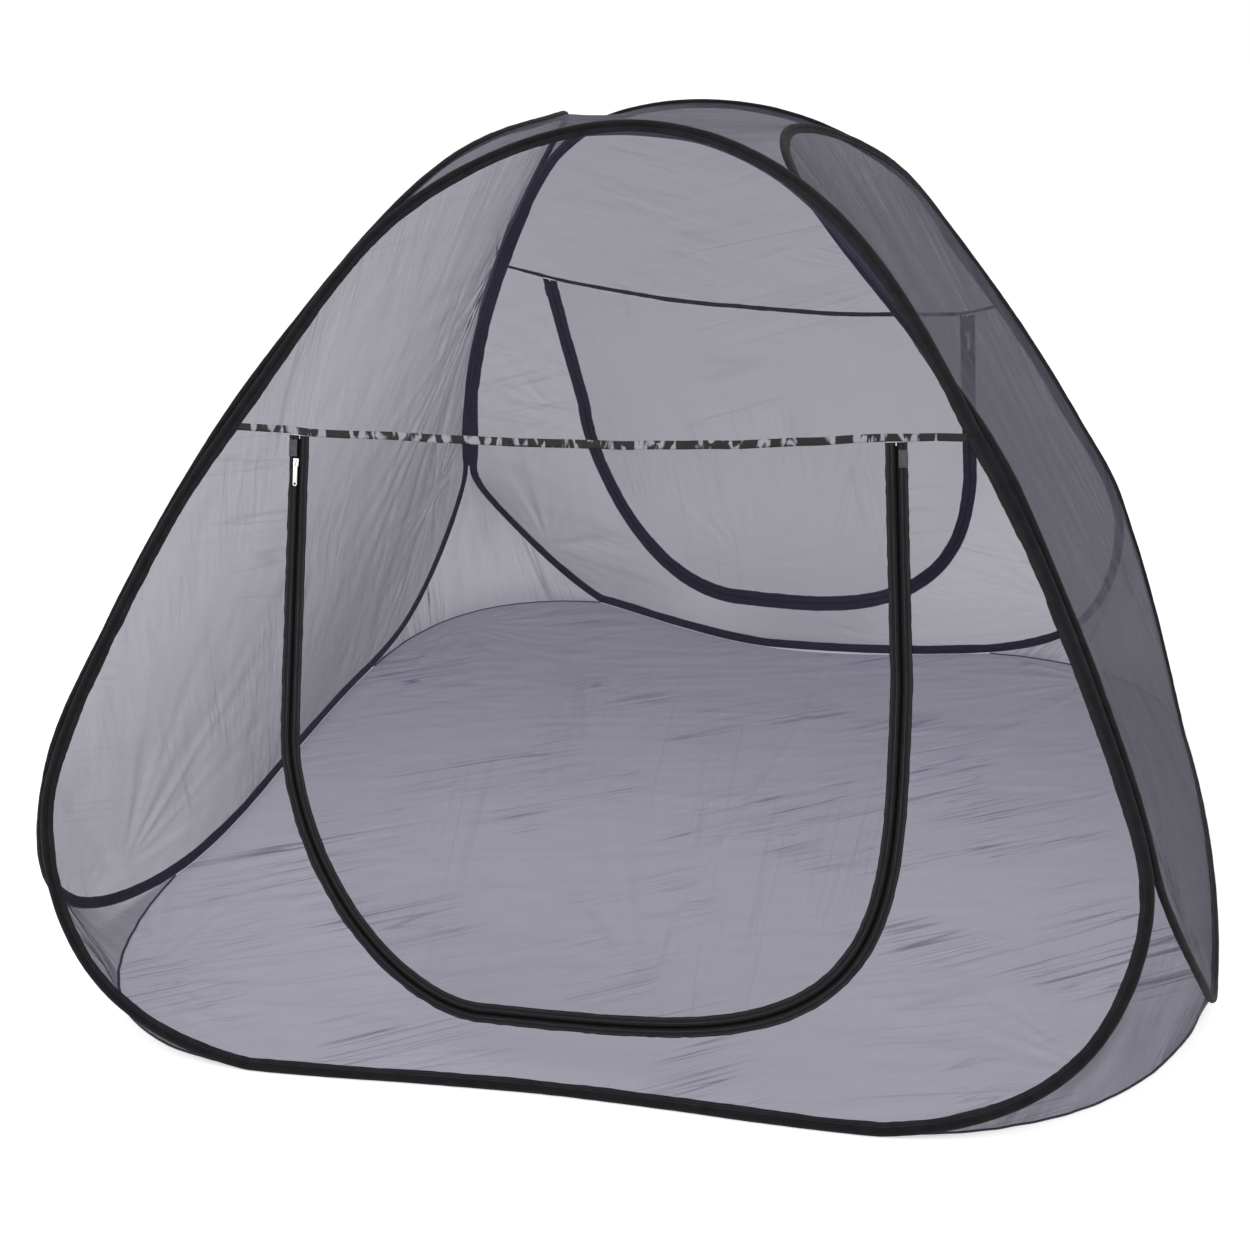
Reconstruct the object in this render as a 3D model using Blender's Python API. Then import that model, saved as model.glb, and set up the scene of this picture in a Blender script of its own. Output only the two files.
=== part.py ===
"""Pop-up mosquito net tent: four sprung wire hoops in sleeves, net walls, roof and floor, two zipped doors.

Units are metres and +Z is up. The front faces -Y and the tent's right side is +X. The origin is on the
ground under the middle of the tent.
"""
import math

import bmesh
import bpy
import numpy as np
from mathutils import Matrix, Vector, geometry

# Overall sizes. The tables of places below are shares of these three.
HALF_WIDTH = 1.10
HALF_DEPTH = 1.20
HEIGHT = 1.50
SHIFT_X = -0.033
SHIFT_Y = -0.048

# Fit between neighbouring pieces
GAP = 0.0003

# Hoop wire, the ferrule that joins its ends, and the sleeve it runs in
WIRE_RADIUS = 0.0020
FERRULE_BORE_RADIUS = 0.0023
FERRULE_RADIUS = 0.0030
FERRULE_LENGTH = 0.040
SLEEVE_RADIUS = 0.0065
SLEEVE_WALL = 0.0012
TUNNEL_SHIFT = 0.0013
HEM_WIDTH = 0.0195
HEM_PLY = 0.0009
NET_TUCK = 0.0080
NET_CLEAR = 0.0025

# Net
NET_THICKNESS = 0.0010
NET_CELL = 0.26
SMALL_NET_CELL = 0.17

# Hinge tape across each end wall. The shares of the tent's height say where it meets the hoop on the left
# and on the right, as seen from outside.
TAPE_WIDTH = 0.0145
TAPE_THICKNESS = 0.0010
TAPE_HEIGHT_SHARES = {"front": (0.689, 0.717), "back": (0.640, 0.683)}

# Door and its zip. The left and right legs of the zip, as seen from outside: how far out its top is, as
# a share of half the hinge line, how far it flares out and how long it is straight, as shares of the wall
# below the tape, and how square the curve below it is. The foot is the zip's lowest point: its place along
# the hinge line and down the wall, and how far the wall bends inwards there, as the same shares.
LEG_SHARES = {"front": ((0.840, 0.008, 0.463, 1.75), (0.793, 0.021, 0.345, 4.0)),
              "back": ((0.805, 0.043, 0.470, 3.2), (0.872, -0.054, 0.351, 2.0))}
FOOT_SHARES = {"front": (-0.290, 0.885, 0.018), "back": (0.080, 0.845, 0.120)}
COIL_SPLIT = 0.0008
COIL_WIDTH = 0.0026
COIL_THICKNESS = 0.0024
COIL_DROP = 0.006
ZIP_TAPE_WIDTH = 0.0145
ZIP_TAPE_THICKNESS = 0.0010
PATCH_LENGTH = 0.028
PATCH_THICKNESS = 0.0008

# Zip slider and its two pulls
SLIDER_PARK = 0.045
SLIDER_LENGTH = 0.013
SLIDER_PLATE = 0.0011
SLIDER_POST = 0.0010
SLIDER_WIDTH = 0.0120
SLIDER_LIP = 0.0010
CROWN_WIDTH = 0.0024
CROWN_LENGTH = 0.0084
CROWN_HEIGHT = 0.0040
CROWN_BAR = 0.0013
PULL_LENGTH = 0.040
PULL_WIDTH = 0.0076
PULL_THICKNESS = 0.0012
PULL_WINDOW_LENGTH = 0.0056
PULL_WINDOW_WIDTH = 0.0030
PULL_HOLE_RADIUS = 0.0022

# Roof, gussets and floor: how far each floor corner draws in from its two hoops, and how far apart two hoops
# must stand before a net is sewn between them
FLOOR_CORNER_INSET = 0.012
SEAM_CLEAR = 0.030
SEAM_SLACK_RATIO = 1.12
STEP_IN_RATIO = 1.02
AIM_SHARE = 0.50
ROOF_FOOT_SHARE = 0.70
CORNER_TOP_SHARE = 0.30
TOUCH_RATIO = 1.3

# Lines where two hoops are sewn side by side, from the shoulder down to the corner (x, y, z shares)
SEAM_SHARES = {
    "front_left": [(-0.50, -0.62, 0.80), (-0.68, -0.71, 0.61), (-0.80, -0.79, 0.44), (-0.87, -0.88, 0.28)],
    "front_right": [(0.56, -0.67, 0.73), (0.66, -0.72, 0.61), (0.77, -0.77, 0.44), (0.85, -0.81, 0.28)],
    "back_left": [(-0.55, 0.59, 0.79), (-0.68, 0.70, 0.61), (-0.76, 0.79, 0.44), (-0.82, 0.92, 0.28)],
    "back_right": [(0.42, 0.58, 0.79), (0.59, 0.69, 0.61), (0.73, 0.78, 0.44), (0.84, 0.85, 0.28)],
}

# Each hoop as seen from outside: its right and left seams, then its own points clockwise from the top: top,
# right shoulder, corner and foot, bottom, left foot, corner and shoulder (x, y, z shares)
HOOP_SHARES = {
    "front": ("front_right", "front_left", [
        (-0.03, -0.37, 1.01), (0.33, -0.49, 0.92), (0.77, -0.88, 0.09), (0.49, -0.94, 0),
        (0, -0.95, 0), (-0.49, -0.99, 0), (-0.77, -0.97, 0.10), (-0.34, -0.51, 0.93)]),
    "left": ("front_left", "back_left", [
        (-0.28, 0, 0.99), (-0.35, -0.32, 0.96), (-0.95, -0.74, 0.06), (-0.90, -0.46, 0),
        (-0.91, 0, 0), (-0.93, 0.46, 0), (-0.90, 0.74, 0.06), (-0.35, 0.32, 0.96)]),
    "back": ("back_left", "back_right", [
        (0.07, 0.38, 0.98), (-0.33, 0.44, 0.95), (-0.77, 1.06, 0.15), (-0.49, 1.01, 0),
        (0, 0.80, 0), (0.49, 0.85, 0), (0.77, 0.90, 0.06), (0.33, 0.47, 0.88)]),
    "right": ("back_right", "front_right", [
        (0.17, 0, 0.98), (0.30, 0.32, 0.92), (0.94, 0.74, 0.09), (0.99, 0.46, 0),
        (1.01, 0, 0), (0.99, -0.46, 0), (0.93, -0.74, 0.14), (0.28, -0.32, 0.90)]),
}
OUTWARD = {"front": Vector((0, -1, 0)), "left": Vector((-1, 0, 0)),
           "back": Vector((0, 1, 0)), "right": Vector((1, 0, 0))}
UP = Vector((0, 0, 1))

# Counts, and steps along a hoop's dense curve
HOOP_STATIONS = 48
SPLINE_STEPS = 120
TANGENT_STEPS = 3
SEARCH_STEPS = 6
MARK_CLEAR_STEPS = 10
EASE_STEPS = 40
ROUND_SIDES = 6
HOLE_SIDES = 8
CURVE_STEPS = 7
TAPE_STEPS = 4
CORNER_STEPS = 5
SLIVER_SHARE = 1e-6

# Where the sleeve's round has its edges, and how high a sleeve's middle lies when it stands on the ground
SLEEVE_ANGLES = [math.radians(50 + 52 * k) for k in range(ROUND_SIDES)]
STAND_HEIGHT = SLEEVE_RADIUS

COLOURS = {
    "wire": ((0.55, 0.55, 0.57), 0.35, 1.0),
    "ferrule": ((0.50, 0.50, 0.52), 0.40, 1.0),
    "sleeve": ((0.022, 0.019, 0.023), 0.80, 0.0),
    "net": ((0.30, 0.29, 0.36), 0.90, 0.0),
    "hinge_tape": ((0.030, 0.028, 0.032), 0.45, 0.0),
    "zip_tape": ((0.020, 0.018, 0.021), 0.75, 0.0),
    "zip_coil": ((0.012, 0.011, 0.013), 0.45, 0.0),
    "end_patch": ((0.23, 0.22, 0.27), 0.50, 0.0),
    "zip_metal": ((0.78, 0.77, 0.74), 0.28, 1.0),
}


def clear_scene():
    for thing in list(bpy.data.objects):
        bpy.data.objects.remove(thing, do_unlink=True)


def material(name):
    made = bpy.data.materials.get(name)
    if made is None:
        colour, roughness, metallic = COLOURS[name]
        made = bpy.data.materials.new(name)
        made.use_nodes = True
        shader = made.node_tree.nodes["Principled BSDF"]
        shader.inputs["Base Color"].default_value = (*colour, 1)
        shader.inputs["Roughness"].default_value = roughness
        shader.inputs["Metallic"].default_value = metallic
        made.diffuse_color = (*colour, 1)
    return made


def add_object(name, vertices, faces, slot, origin=None):
    """One named object. Its mesh is stored about origin, which is where the object then stands."""
    start = origin if origin is not None else Vector((0, 0, 0))
    mesh = bpy.data.meshes.new(name)
    mesh.from_pydata([Vector(v) - start for v in vertices], [], faces)
    shell = bmesh.new()
    shell.from_mesh(mesh)
    bmesh.ops.recalc_face_normals(shell, faces=shell.faces)
    shell.to_mesh(mesh)
    shell.free()
    thing = bpy.data.objects.new(name, mesh)
    thing.location = start
    thing.data.materials.append(material(slot))
    bpy.context.scene.collection.objects.link(thing)
    return thing


def place(shares):
    """A point from shares of the overall sizes, with height zero at the middle of a sleeve on the ground."""
    x = shares[0] * HALF_WIDTH + SHIFT_X
    y = shares[1] * HALF_DEPTH + SHIFT_Y
    return Vector((x, y, STAND_HEIGHT + shares[2] * (HEIGHT - STAND_HEIGHT)))


def closed_curve(points):
    """A smooth closed curve through the points, as a dense list: a periodic cubic spline."""
    p = np.array([tuple(point) for point in points])
    count = len(p)
    ahead = np.roll(p, -1, axis=0)
    step = np.sqrt(np.linalg.norm(ahead - p, axis=1))
    slope = (ahead - p) / step[:, None]
    matrix = np.zeros((count, count))
    for i in range(count):
        matrix[i, i - 1] = step[i - 1]
        matrix[i, i] = 2 * (step[i - 1] + step[i])
        matrix[i, (i + 1) % count] = step[i]
    bend = np.linalg.solve(matrix, 6 * (slope - np.roll(slope, 1, axis=0)))
    bend_ahead = np.roll(bend, -1, axis=0)
    dense = []
    for i in range(count):
        for k in range(SPLINE_STEPS):
            b = k / SPLINE_STEPS
            a = 1 - b
            bow = ((a ** 3 - a) * bend[i] + (b ** 3 - b) * bend_ahead[i]) * step[i] ** 2 / 6
            dense.append(Vector(a * p[i] + b * ahead[i] + bow))
    return dense


class Hoop:
    """One closed hoop: its centre line, the stations where its sleeve has a section, and their frames."""

    def __init__(self, name):
        right_seam, left_seam, own = HOOP_SHARES[name]
        self.name = name
        self.out = OUTWARD[name]
        self.across = (-self.out).cross(UP)
        self.middle = Vector((SHIFT_X, SHIFT_Y, 0))
        # Side by side, two sleeves keep clear of each other when each steps this far into its own wall
        step_in = (2 * SLEEVE_RADIUS + GAP) * math.sqrt(0.5) * STEP_IN_RATIO
        right = [place(s) - self.across * step_in for s in SEAM_SHARES[right_seam]]
        left = [place(s) + self.across * step_in for s in SEAM_SHARES[left_seam]]
        own = [place(s) for s in own]
        points = [*own[:2], *right, *own[2:7], *left[::-1], own[7]]
        self.seam_count = len(right)
        self.curve = closed_curve(points)
        for point in self.curve:
            point.z = max(point.z, STAND_HEIGHT)
        self.low_aim = self.wall_middle(right[-1], left[-1])
        self.high_aim = self.wall_middle(right[0], left[0])
        self.marks = {}

    def wall_middle(self, first, second):
        point = (first + second) / 2
        point -= self.across * (point - self.middle).dot(self.across)
        return point

    def tangent(self, i):
        ahead = self.curve[(i + TANGENT_STEPS) % len(self.curve)]
        return (ahead - self.curve[i - TANGENT_STEPS]).normalized()

    def seam_side(self, side):
        """The stretch of curve that lies along one seam, from the shoulder down to the corner."""
        first = SPLINE_STEPS
        last = SPLINE_STEPS * (self.seam_count + 2)
        if side == "right":
            return list(range(first, last))
        total = len(self.curve)
        return list(range(total - first, total - last, -1))

    def spread(self, count):
        """Stations spaced half by length and half by turning, so that the tight corners get more of them."""
        total = len(self.curve)
        lengths = [(self.curve[(i + 1) % total] - self.curve[i]).length for i in range(total)]
        turns = [self.tangent(i).angle(self.tangent((i + 1) % total)) for i in range(total)]
        weights = [a / sum(lengths) + b / sum(turns) for a, b in zip(lengths, turns)]
        running = np.cumsum(weights) / sum(weights)
        return sorted({int(np.searchsorted(running, (k + 0.5) / count)) for k in range(count)})

    def frame(self, i):
        """The centre, the direction into the wall and the direction out of the tent."""
        centre = self.curve[i]
        along = self.tangent(i)
        rise = (centre.z - self.low_aim.z) / (self.high_aim.z - self.low_aim.z)
        aim = self.low_aim.lerp(self.high_aim, min(max(rise, 0), 1))
        inward = aim - centre
        inward = (inward - along * inward.dot(along)).normalized()
        outside = along.cross(inward).normalized()
        if outside.dot(self.out) < 0:
            outside.negate()
        return centre, inward, outside

    def point(self, i, u, w=0.0):
        centre, inward, outside = self.frame(i)
        return centre + inward * u + outside * w

    def toward(self, i, aim, reach):
        """A point at the sleeve's outside, on the side that faces aim."""
        centre = self.curve[i]
        along = self.tangent(i)
        side = aim - centre
        side = (side - along * side.dot(along)).normalized()
        return centre + side * reach

    def mark(self, key, low, high, height):
        """Adds a station on the stretch of curve from low to high where the wall reaches this height."""
        best = min(range(low, high), key=lambda i: abs(self.point(i, HEM_WIDTH).z - height))
        near = [s for s in self.stations if abs(s - best) > MARK_CLEAR_STEPS or s in self.marks.values()]
        self.stations = sorted({*near, best})
        self.marks[key] = best

    def between(self, first, last):
        """The stations from first to last, clockwise as seen from outside."""
        ring = self.stations
        start = ring.index(first)
        turned = ring[start:] + ring[:start]
        return turned[:turned.index(last) + 1]

    def nearest_station(self, i):
        return min(self.stations, key=lambda s: abs(s - i))


def sweep(name, sections, slot, closed, origin=None):
    """A solid through a list of sections that all have the same number of points."""
    sides = len(sections[0])
    vertices = [point for section in sections for point in section]
    count = len(sections)
    faces = []
    for i in range(count if closed else count - 1):
        j = (i + 1) % count
        for k in range(sides):
            m = (k + 1) % sides
            faces.append((i * sides + k, i * sides + m, j * sides + m, j * sides + k))
    if not closed:
        faces.append(tuple(range(sides)))
        faces.append(tuple(range((count - 1) * sides, count * sides)))
    return add_object(name, vertices, faces, slot, origin)


def round_section(centre, inward, outside, radius):
    turns = [2 * math.pi * k / ROUND_SIDES for k in range(ROUND_SIDES)]
    return [centre + (inward * math.cos(t) + outside * math.sin(t)) * radius for t in turns]


def make_sleeve(hoop):
    """Binding folded round the wire, its two plies running in as a hem with the net between them."""
    slot = NET_THICKNESS / 2 + GAP
    inner_radius = SLEEVE_RADIUS - SLEEVE_WALL
    profile = [(HEM_WIDTH, slot + HEM_PLY)]
    profile += [(SLEEVE_RADIUS * math.cos(a), SLEEVE_RADIUS * math.sin(a)) for a in SLEEVE_ANGLES]
    profile += [(HEM_WIDTH, -slot - HEM_PLY), (HEM_WIDTH, -slot)]
    profile += [(inner_radius * math.cos(a), inner_radius * math.sin(a)) for a in reversed(SLEEVE_ANGLES)]
    profile += [(HEM_WIDTH, slot)]
    sections = [[hoop.point(i, u, w) for u, w in profile] for i in hoop.stations]
    sweep(f"{hoop.name}_hoop_sleeve", sections, "sleeve", True)


def make_wire(hoop):
    sections = []
    for i in hoop.stations:
        centre, inward, outside = hoop.frame(i)
        sections.append(round_section(centre - inward * TUNNEL_SHIFT, inward, outside, WIRE_RADIUS))
    sweep(f"{hoop.name}_hoop_wire", sections, "wire", True)


def make_ferrule(hoop):
    """A short tube over the ends of the wire, in the middle of the hoop's bottom."""
    total = len(hoop.curve)
    bottom = hoop.nearest_station(total // 2)
    after = hoop.between(bottom, hoop.stations[-1])[1]
    first = hoop.frame(bottom)
    second = hoop.frame(after)
    start = first[0] - first[1] * TUNNEL_SHIFT
    end = second[0] - second[1] * TUNNEL_SHIFT
    along = (end - start).normalized()
    inward = (first[1] + second[1]).normalized()
    outside = (first[2] + second[2]).normalized()
    centre = (start + end) / 2
    half = along * FERRULE_LENGTH / 2
    vertices = []
    for middle in (centre - half, centre + half):
        vertices += round_section(middle, inward, outside, FERRULE_RADIUS)
        vertices += round_section(middle, inward, outside, FERRULE_BORE_RADIUS)
    n = ROUND_SIDES
    faces = []
    for k in range(n):
        m = (k + 1) % n
        faces.append((k, m, 2 * n + m, 2 * n + k))
        faces.append((n + k, 3 * n + k, 3 * n + m, n + m))
        faces.append((k, n + k, n + m, m))
        faces.append((2 * n + k, 2 * n + m, 3 * n + m, 3 * n + k))
    add_object(f"{hoop.name}_hoop_ferrule", vertices, faces, "ferrule")


def part_seams(hoops):
    """Presses the sleeves apart wherever two hoops side by side come closer than their sleeves allow."""
    need = (2 * SLEEVE_RADIUS + 2 * GAP) * SEAM_SLACK_RATIO
    moves = []
    for first, second in (("front", "right"), ("right", "back"), ("back", "left"), ("left", "front")):
        for hoop, side, other, other_side in ((hoops[first], "right", hoops[second], "left"),
                                              (hoops[second], "left", hoops[first], "right")):
            inward = -hoop.across if side == "right" else hoop.across
            other_inward = -other.across if other_side == "right" else other.across
            apart = (inward - other_inward).normalized()
            beside = [other.curve[i] for i in other.seam_side(other_side)][::-1]
            heights = [p.z for p in beside]
            run = hoop.seam_side(side)
            pushes = []
            for i in run:
                point = hoop.curve[i]
                near = Vector((np.interp(point.z, heights, [p.x for p in beside]),
                               np.interp(point.z, heights, [p.y for p in beside]), point.z))
                pushes.append(max(0.0, need - (point - near).dot(apart)) / 2)
            padded = np.pad(pushes, EASE_STEPS, "edge")
            eased = np.convolve(padded, np.ones(EASE_STEPS) / EASE_STEPS, "same")[EASE_STEPS:-EASE_STEPS]
            moves.append((hoop, run, apart, [max(a, b) for a, b in zip(eased, pushes)]))
    for hoop, run, apart, pushes in moves:
        for i, push in zip(run, pushes):
            hoop.curve[i] += apart * push


class Patch:
    """A thin net panel: edge points with the panel's normal there, filled in and given its thickness."""

    def __init__(self, across, up):
        self.across = across.normalized()
        self.up = up.normalized()
        self.depth = self.across.cross(self.up).normalized()
        self.points = []
        self.normals = []
        self.loop = []
        self.chains = []

    def add(self, point, normal=None):
        self.points.append(Vector(point))
        self.normals.append(normal)
        return len(self.points) - 1

    def edge(self, point, normal=None):
        self.loop.append(self.add(point, normal))
        return self.loop[-1]

    def flat(self, point):
        return Vector((point.dot(self.across), point.dot(self.up)))

    def inside(self, spot, outline):
        hit = False
        for a, b in zip(outline, outline[1:] + outline[:1]):
            if (a.y > spot.y) != (b.y > spot.y):
                if spot.x < a.x + (b.x - a.x) * (spot.y - a.y) / (b.y - a.y):
                    hit = not hit
        return hit

    def fill(self, cell):
        """Adds inner points on a grid of equilateral triangles, clear of the points already there."""
        outline = [self.flat(self.points[i]) for i in self.loop]
        taken = [self.flat(p) for p in self.points]
        low = Vector((min(p.x for p in outline), min(p.y for p in outline)))
        high = Vector((max(p.x for p in outline), max(p.y for p in outline)))
        row_height = cell * math.sqrt(0.75)
        rows = int((high.y - low.y) / row_height) + 1
        columns = int((high.x - low.x) / cell) + 2
        spots = []
        for row in range(rows):
            for column in range(columns):
                x = low.x + cell * (column + 0.5 * (row % 2))
                spot = Vector((x, low.y + row_height * (row + 0.5)))
                if self.inside(spot, outline) and min((spot - t).length for t in taken) > cell / 2:
                    spots.append(spot)
        return spots

    def build(self, name, cell, thickness=NET_THICKNESS, slot="net", origin=None, level=None):
        fixed = len(self.points)
        spots = self.fill(cell)
        for spot in spots:
            self.add(self.across * spot.x + self.up * spot.y)
        flat = [self.flat(p) for p in self.points]
        ring = [(a, b) for a, b in zip(self.loop, self.loop[1:] + self.loop[:1])]
        edges = ring + [(a, b) for chain in self.chains for a, b in zip(chain, chain[1:])]
        placed, _, faces, sources, _, _ = geometry.delaunay_2d_cdt(flat, edges, [], 1, 1e-7, True)
        # A place with no source is a crossing of two rows, and becomes one more inner point
        source = [ids[0] if ids else self.add(self.across * spot.x + self.up * spot.y)
                  for spot, ids in zip(placed, sources)]
        flat = [self.flat(p) for p in self.points]
        faces = self.kept([tuple(source[i] for i in face) for face in faces], flat, cell)
        self.relax(faces, flat, fixed, level)
        normals = self.shade(faces)
        half = thickness / 2
        outer = [p + n * half for p, n in zip(self.points, normals)]
        inner = [p - n * half for p, n in zip(self.points, normals)]
        count = len(self.points)
        solid = list(faces) + [tuple(count + i for i in reversed(face)) for face in faces]
        solid += [(a, b, count + b, count + a) for a, b in ring]
        return add_object(name, outer + inner, solid, slot, origin)

    def kept(self, faces, flat, cell):
        """The faces within the outline, without the flat ones that a straight run of points can leave."""
        outline = [flat[i] for i in self.loop]
        least = cell ** 2 * SLIVER_SHARE
        kept = []
        for face in faces:
            a, b, c = (flat[i] for i in face)
            if abs(geometry.area_tri(a, b, c)) > least and self.inside((a + b + c) / 3, outline):
                kept.append(face)
        return kept

    def relax(self, faces, flat, fixed, level):
        """Gives each inner point the depth at which a taut net lies, from the depths along the edges."""
        free = len(self.points) - fixed
        if not free:
            return
        matrix = np.zeros((free, free))
        known = np.zeros(free)
        for face in faces:
            for k in range(3):
                corner, first, second = face[k], face[(k + 1) % 3], face[(k + 2) % 3]
                one = flat[first] - flat[corner]
                two = flat[second] - flat[corner]
                pull = one.dot(two) / abs(one.cross(two))
                for i, j in ((first, second), (second, first)):
                    if i < fixed:
                        continue
                    matrix[i - fixed, i - fixed] += pull
                    if j < fixed:
                        known[i - fixed] += pull * self.points[j].dot(self.depth)
                    else:
                        matrix[i - fixed, j - fixed] -= pull
        depths = np.linalg.solve(matrix, known)
        for i in range(free):
            depth = depths[i] if level is None else level
            self.points[fixed + i] += self.depth * depth

    def shade(self, faces):
        sums = [Vector((0, 0, 0)) for _ in self.points]
        for a, b, c in faces:
            turn = (self.points[b] - self.points[a]).cross(self.points[c] - self.points[a])
            if turn.dot(self.depth) < 0:
                turn.negate()
            for i in (a, b, c):
                sums[i] += turn
        normals = []
        for total, given in zip(sums, self.normals):
            normal = total.normalized() if given is None else given
            normals.append(normal)
        return normals


def hem_strip(patch, hoop, stations):
    """Edge points inside the hem and a second row just clear of it. Returns the second row's indices."""
    tucked = HEM_WIDTH - NET_TUCK
    clear = HEM_WIDTH + NET_CLEAR
    normals = [hoop.frame(i)[2] for i in stations]
    for i, normal in zip(stations, normals):
        patch.edge(hoop.point(i, tucked), normal)
    return [patch.add(hoop.point(i, clear), normal) for i, normal in zip(stations, normals)]


def make_side_net(hoop):
    patch = Patch(hoop.across, UP)
    row = hem_strip(patch, hoop, hoop.stations)
    patch.chains.append(row + row[:1])
    patch.build(f"{hoop.name}_net", NET_CELL)


class Wall:
    """An end wall with its hinge tape, door and zip.

    Places on it are (a, s): along the hinge line and down the wall.
    """

    def __init__(self, hoop):
        self.hoop = hoop
        self.name = hoop.name
        half = len(hoop.curve) // 2
        quarter = half // 2
        left_share, right_share = TAPE_HEIGHT_SHARES[hoop.name]
        for side, share, low, high in (("right", right_share, 0, quarter + quarter // 2),
                                       ("left", left_share, half + quarter // 2, len(hoop.curve))):
            hoop.mark(side + "_low", low, high, HEIGHT * share - TAPE_WIDTH / 2)
            hoop.mark(side + "_high", low, high, HEIGHT * share + TAPE_WIDTH / 2)
        reach = HEM_WIDTH + NET_CLEAR + GAP
        self.corners = {key: hoop.point(i, reach) for key, i in hoop.marks.items()}
        left = self.corners["left_low"]
        right = self.corners["right_low"]
        self.along = (right - left).normalized()
        middle = Vector((SHIFT_X, SHIFT_Y, 0))
        share = (middle - left).dot(hoop.across) / (right - left).dot(hoop.across)
        self.origin = left.lerp(right, share)
        lower = hoop.low_aim - self.origin
        lower -= hoop.across * lower.dot(hoop.across)
        self.down = (lower - self.along * lower.dot(self.along)).normalized()
        self.out = self.down.cross(self.along)
        if self.out.dot(hoop.out) < 0:
            self.out.negate()
        drop = self.origin.z / -self.down.z
        half_line = (right - left).length / 2
        foot_share, depth_share, bend_share = FOOT_SHARES[self.name]
        self.foot = (half_line * foot_share, drop * depth_share)
        self.bend = drop * bend_share
        self.legs = {}
        for side, (top_share, flare_share, leg_share, squareness) in zip((-1, 1), LEG_SHARES[self.name]):
            self.legs[side] = (half_line * top_share, drop * flare_share, drop * leg_share, squareness)
        # The hinge line runs along the outer face, in the middle of the gap between the tape and the door
        self.axis = self.origin - self.down * (GAP / 2) + self.out * (TAPE_THICKNESS / 2 + GAP / 2)

    def face(self, a, s):
        """A point on the middle of the wall, the wall's outward normal there, and its direction down."""
        start = self.legs[-1][2]
        depth = self.foot[1] - start
        below = max(s - start, 0) / depth
        point = self.origin + self.along * a + self.down * s - self.out * self.bend * below ** 2
        down = (self.down - self.out * 2 * self.bend * below / depth).normalized()
        normal = down.cross(self.along)
        if normal.dot(self.out) < 0:
            normal.negate()
        return point, normal, down

    def leg_station(self, side, s):
        """A place on the left (-1) or right (1) leg of the zip, with the way out of the door there."""
        top, flare, length, _ = self.legs[side]
        return side * (top + flare * s / length), s, side, 0.0

    def curve_stations(self, side):
        """Places on the curve from a leg's end to the foot: a superellipse, with the way square to it."""
        _, _, length, squareness = self.legs[side]
        width = self.leg_station(side, length)[0] - self.foot[0]
        depth = self.foot[1] - length
        places = []
        for k in range(1, CURVE_STEPS + 1):
            t = math.pi / 2 * k / CURVE_STEPS
            cosine = max(math.cos(t), 0) ** (2 / squareness)
            sine = math.sin(t) ** (2 / squareness)
            way = Vector((cosine ** (squareness - 1) / width, sine ** (squareness - 1) / depth)).normalized()
            places.append((self.foot[0] + width * cosine, length + depth * sine, way.x, way.y))
        return places

    def zip_stations(self, top):
        """Places along the zip, from the left leg's top round to the right's, each with the way outwards."""
        left = [self.leg_station(-1, s) for s in (top, self.legs[-1][2])] + self.curve_stations(-1)
        right = [self.leg_station(1, s) for s in (top, self.legs[1][2])] + self.curve_stations(1)
        return left + right[-2::-1]

    def zip_point(self, station, n, w=0.0):
        """n is measured out of the door across the zip, w out of the wall."""
        a, s, side_a, side_s = station
        point, normal, _ = self.face(a + side_a * n, s + side_s * n)
        return point + normal * w

    def zip_strip(self, name, near, far, thickness, slot, drop, origin=None):
        sections = []
        for station in self.zip_stations(drop):
            corners = [(near, -0.5), (far, -0.5), (far, 0.5), (near, 0.5)]
            sections.append([self.zip_point(station, n, side * thickness) for n, side in corners])
        return sweep(name, sections, slot, False, origin)

    def make_tape(self):
        half = self.out * TAPE_THICKNESS / 2
        outline = [self.corners["left_low"] - self.down * GAP, self.corners["right_low"] - self.down * GAP,
                   self.corners["right_high"] + self.down * GAP, self.corners["left_high"] + self.down * GAP]
        solid = between_rings([p - half for p in outline], [p + half for p in outline])
        add_object(f"{self.name}_hinge_tape", *solid, "hinge_tape")

    def make_upper_net(self):
        """The net above the tape: in the hem from the left end of the tape over the top to the right end."""
        hoop = self.hoop
        patch = Patch(hoop.across, UP)
        stations = hoop.between(hoop.marks["left_high"], hoop.marks["right_high"])[1:-1]
        stations = [hoop.marks["left_high"], *stations, hoop.marks["right_high"]]
        row = hem_strip(patch, hoop, stations)
        patch.chains.append(row)
        patch.loop.append(row[-1])
        for k in range(1, TAPE_STEPS):
            patch.edge(self.corners["right_high"].lerp(self.corners["left_high"], k / TAPE_STEPS), self.out)
        patch.loop.append(row[0])
        patch.build(f"{self.name}_upper_net", NET_CELL)

    def make_lower_net(self):
        """The net below the tape and outside the zip, in the hem from the tape's right end to its left."""
        hoop = self.hoop
        patch = Patch(hoop.across, UP)
        stations = hoop.between(hoop.marks["right_low"], hoop.marks["left_low"])
        row = hem_strip(patch, hoop, stations)
        patch.chains.append(row)
        patch.loop.append(row[-1])
        edge_n = COIL_SPLIT + COIL_WIDTH + GAP + ZIP_TAPE_WIDTH + GAP
        for station in self.zip_stations(0.0):
            _, normal, _ = self.face(station[0], station[1])
            patch.edge(self.zip_point(station, edge_n), normal)
        patch.loop.append(row[0])
        patch.build(f"{self.name}_lower_net", SMALL_NET_CELL)

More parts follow.
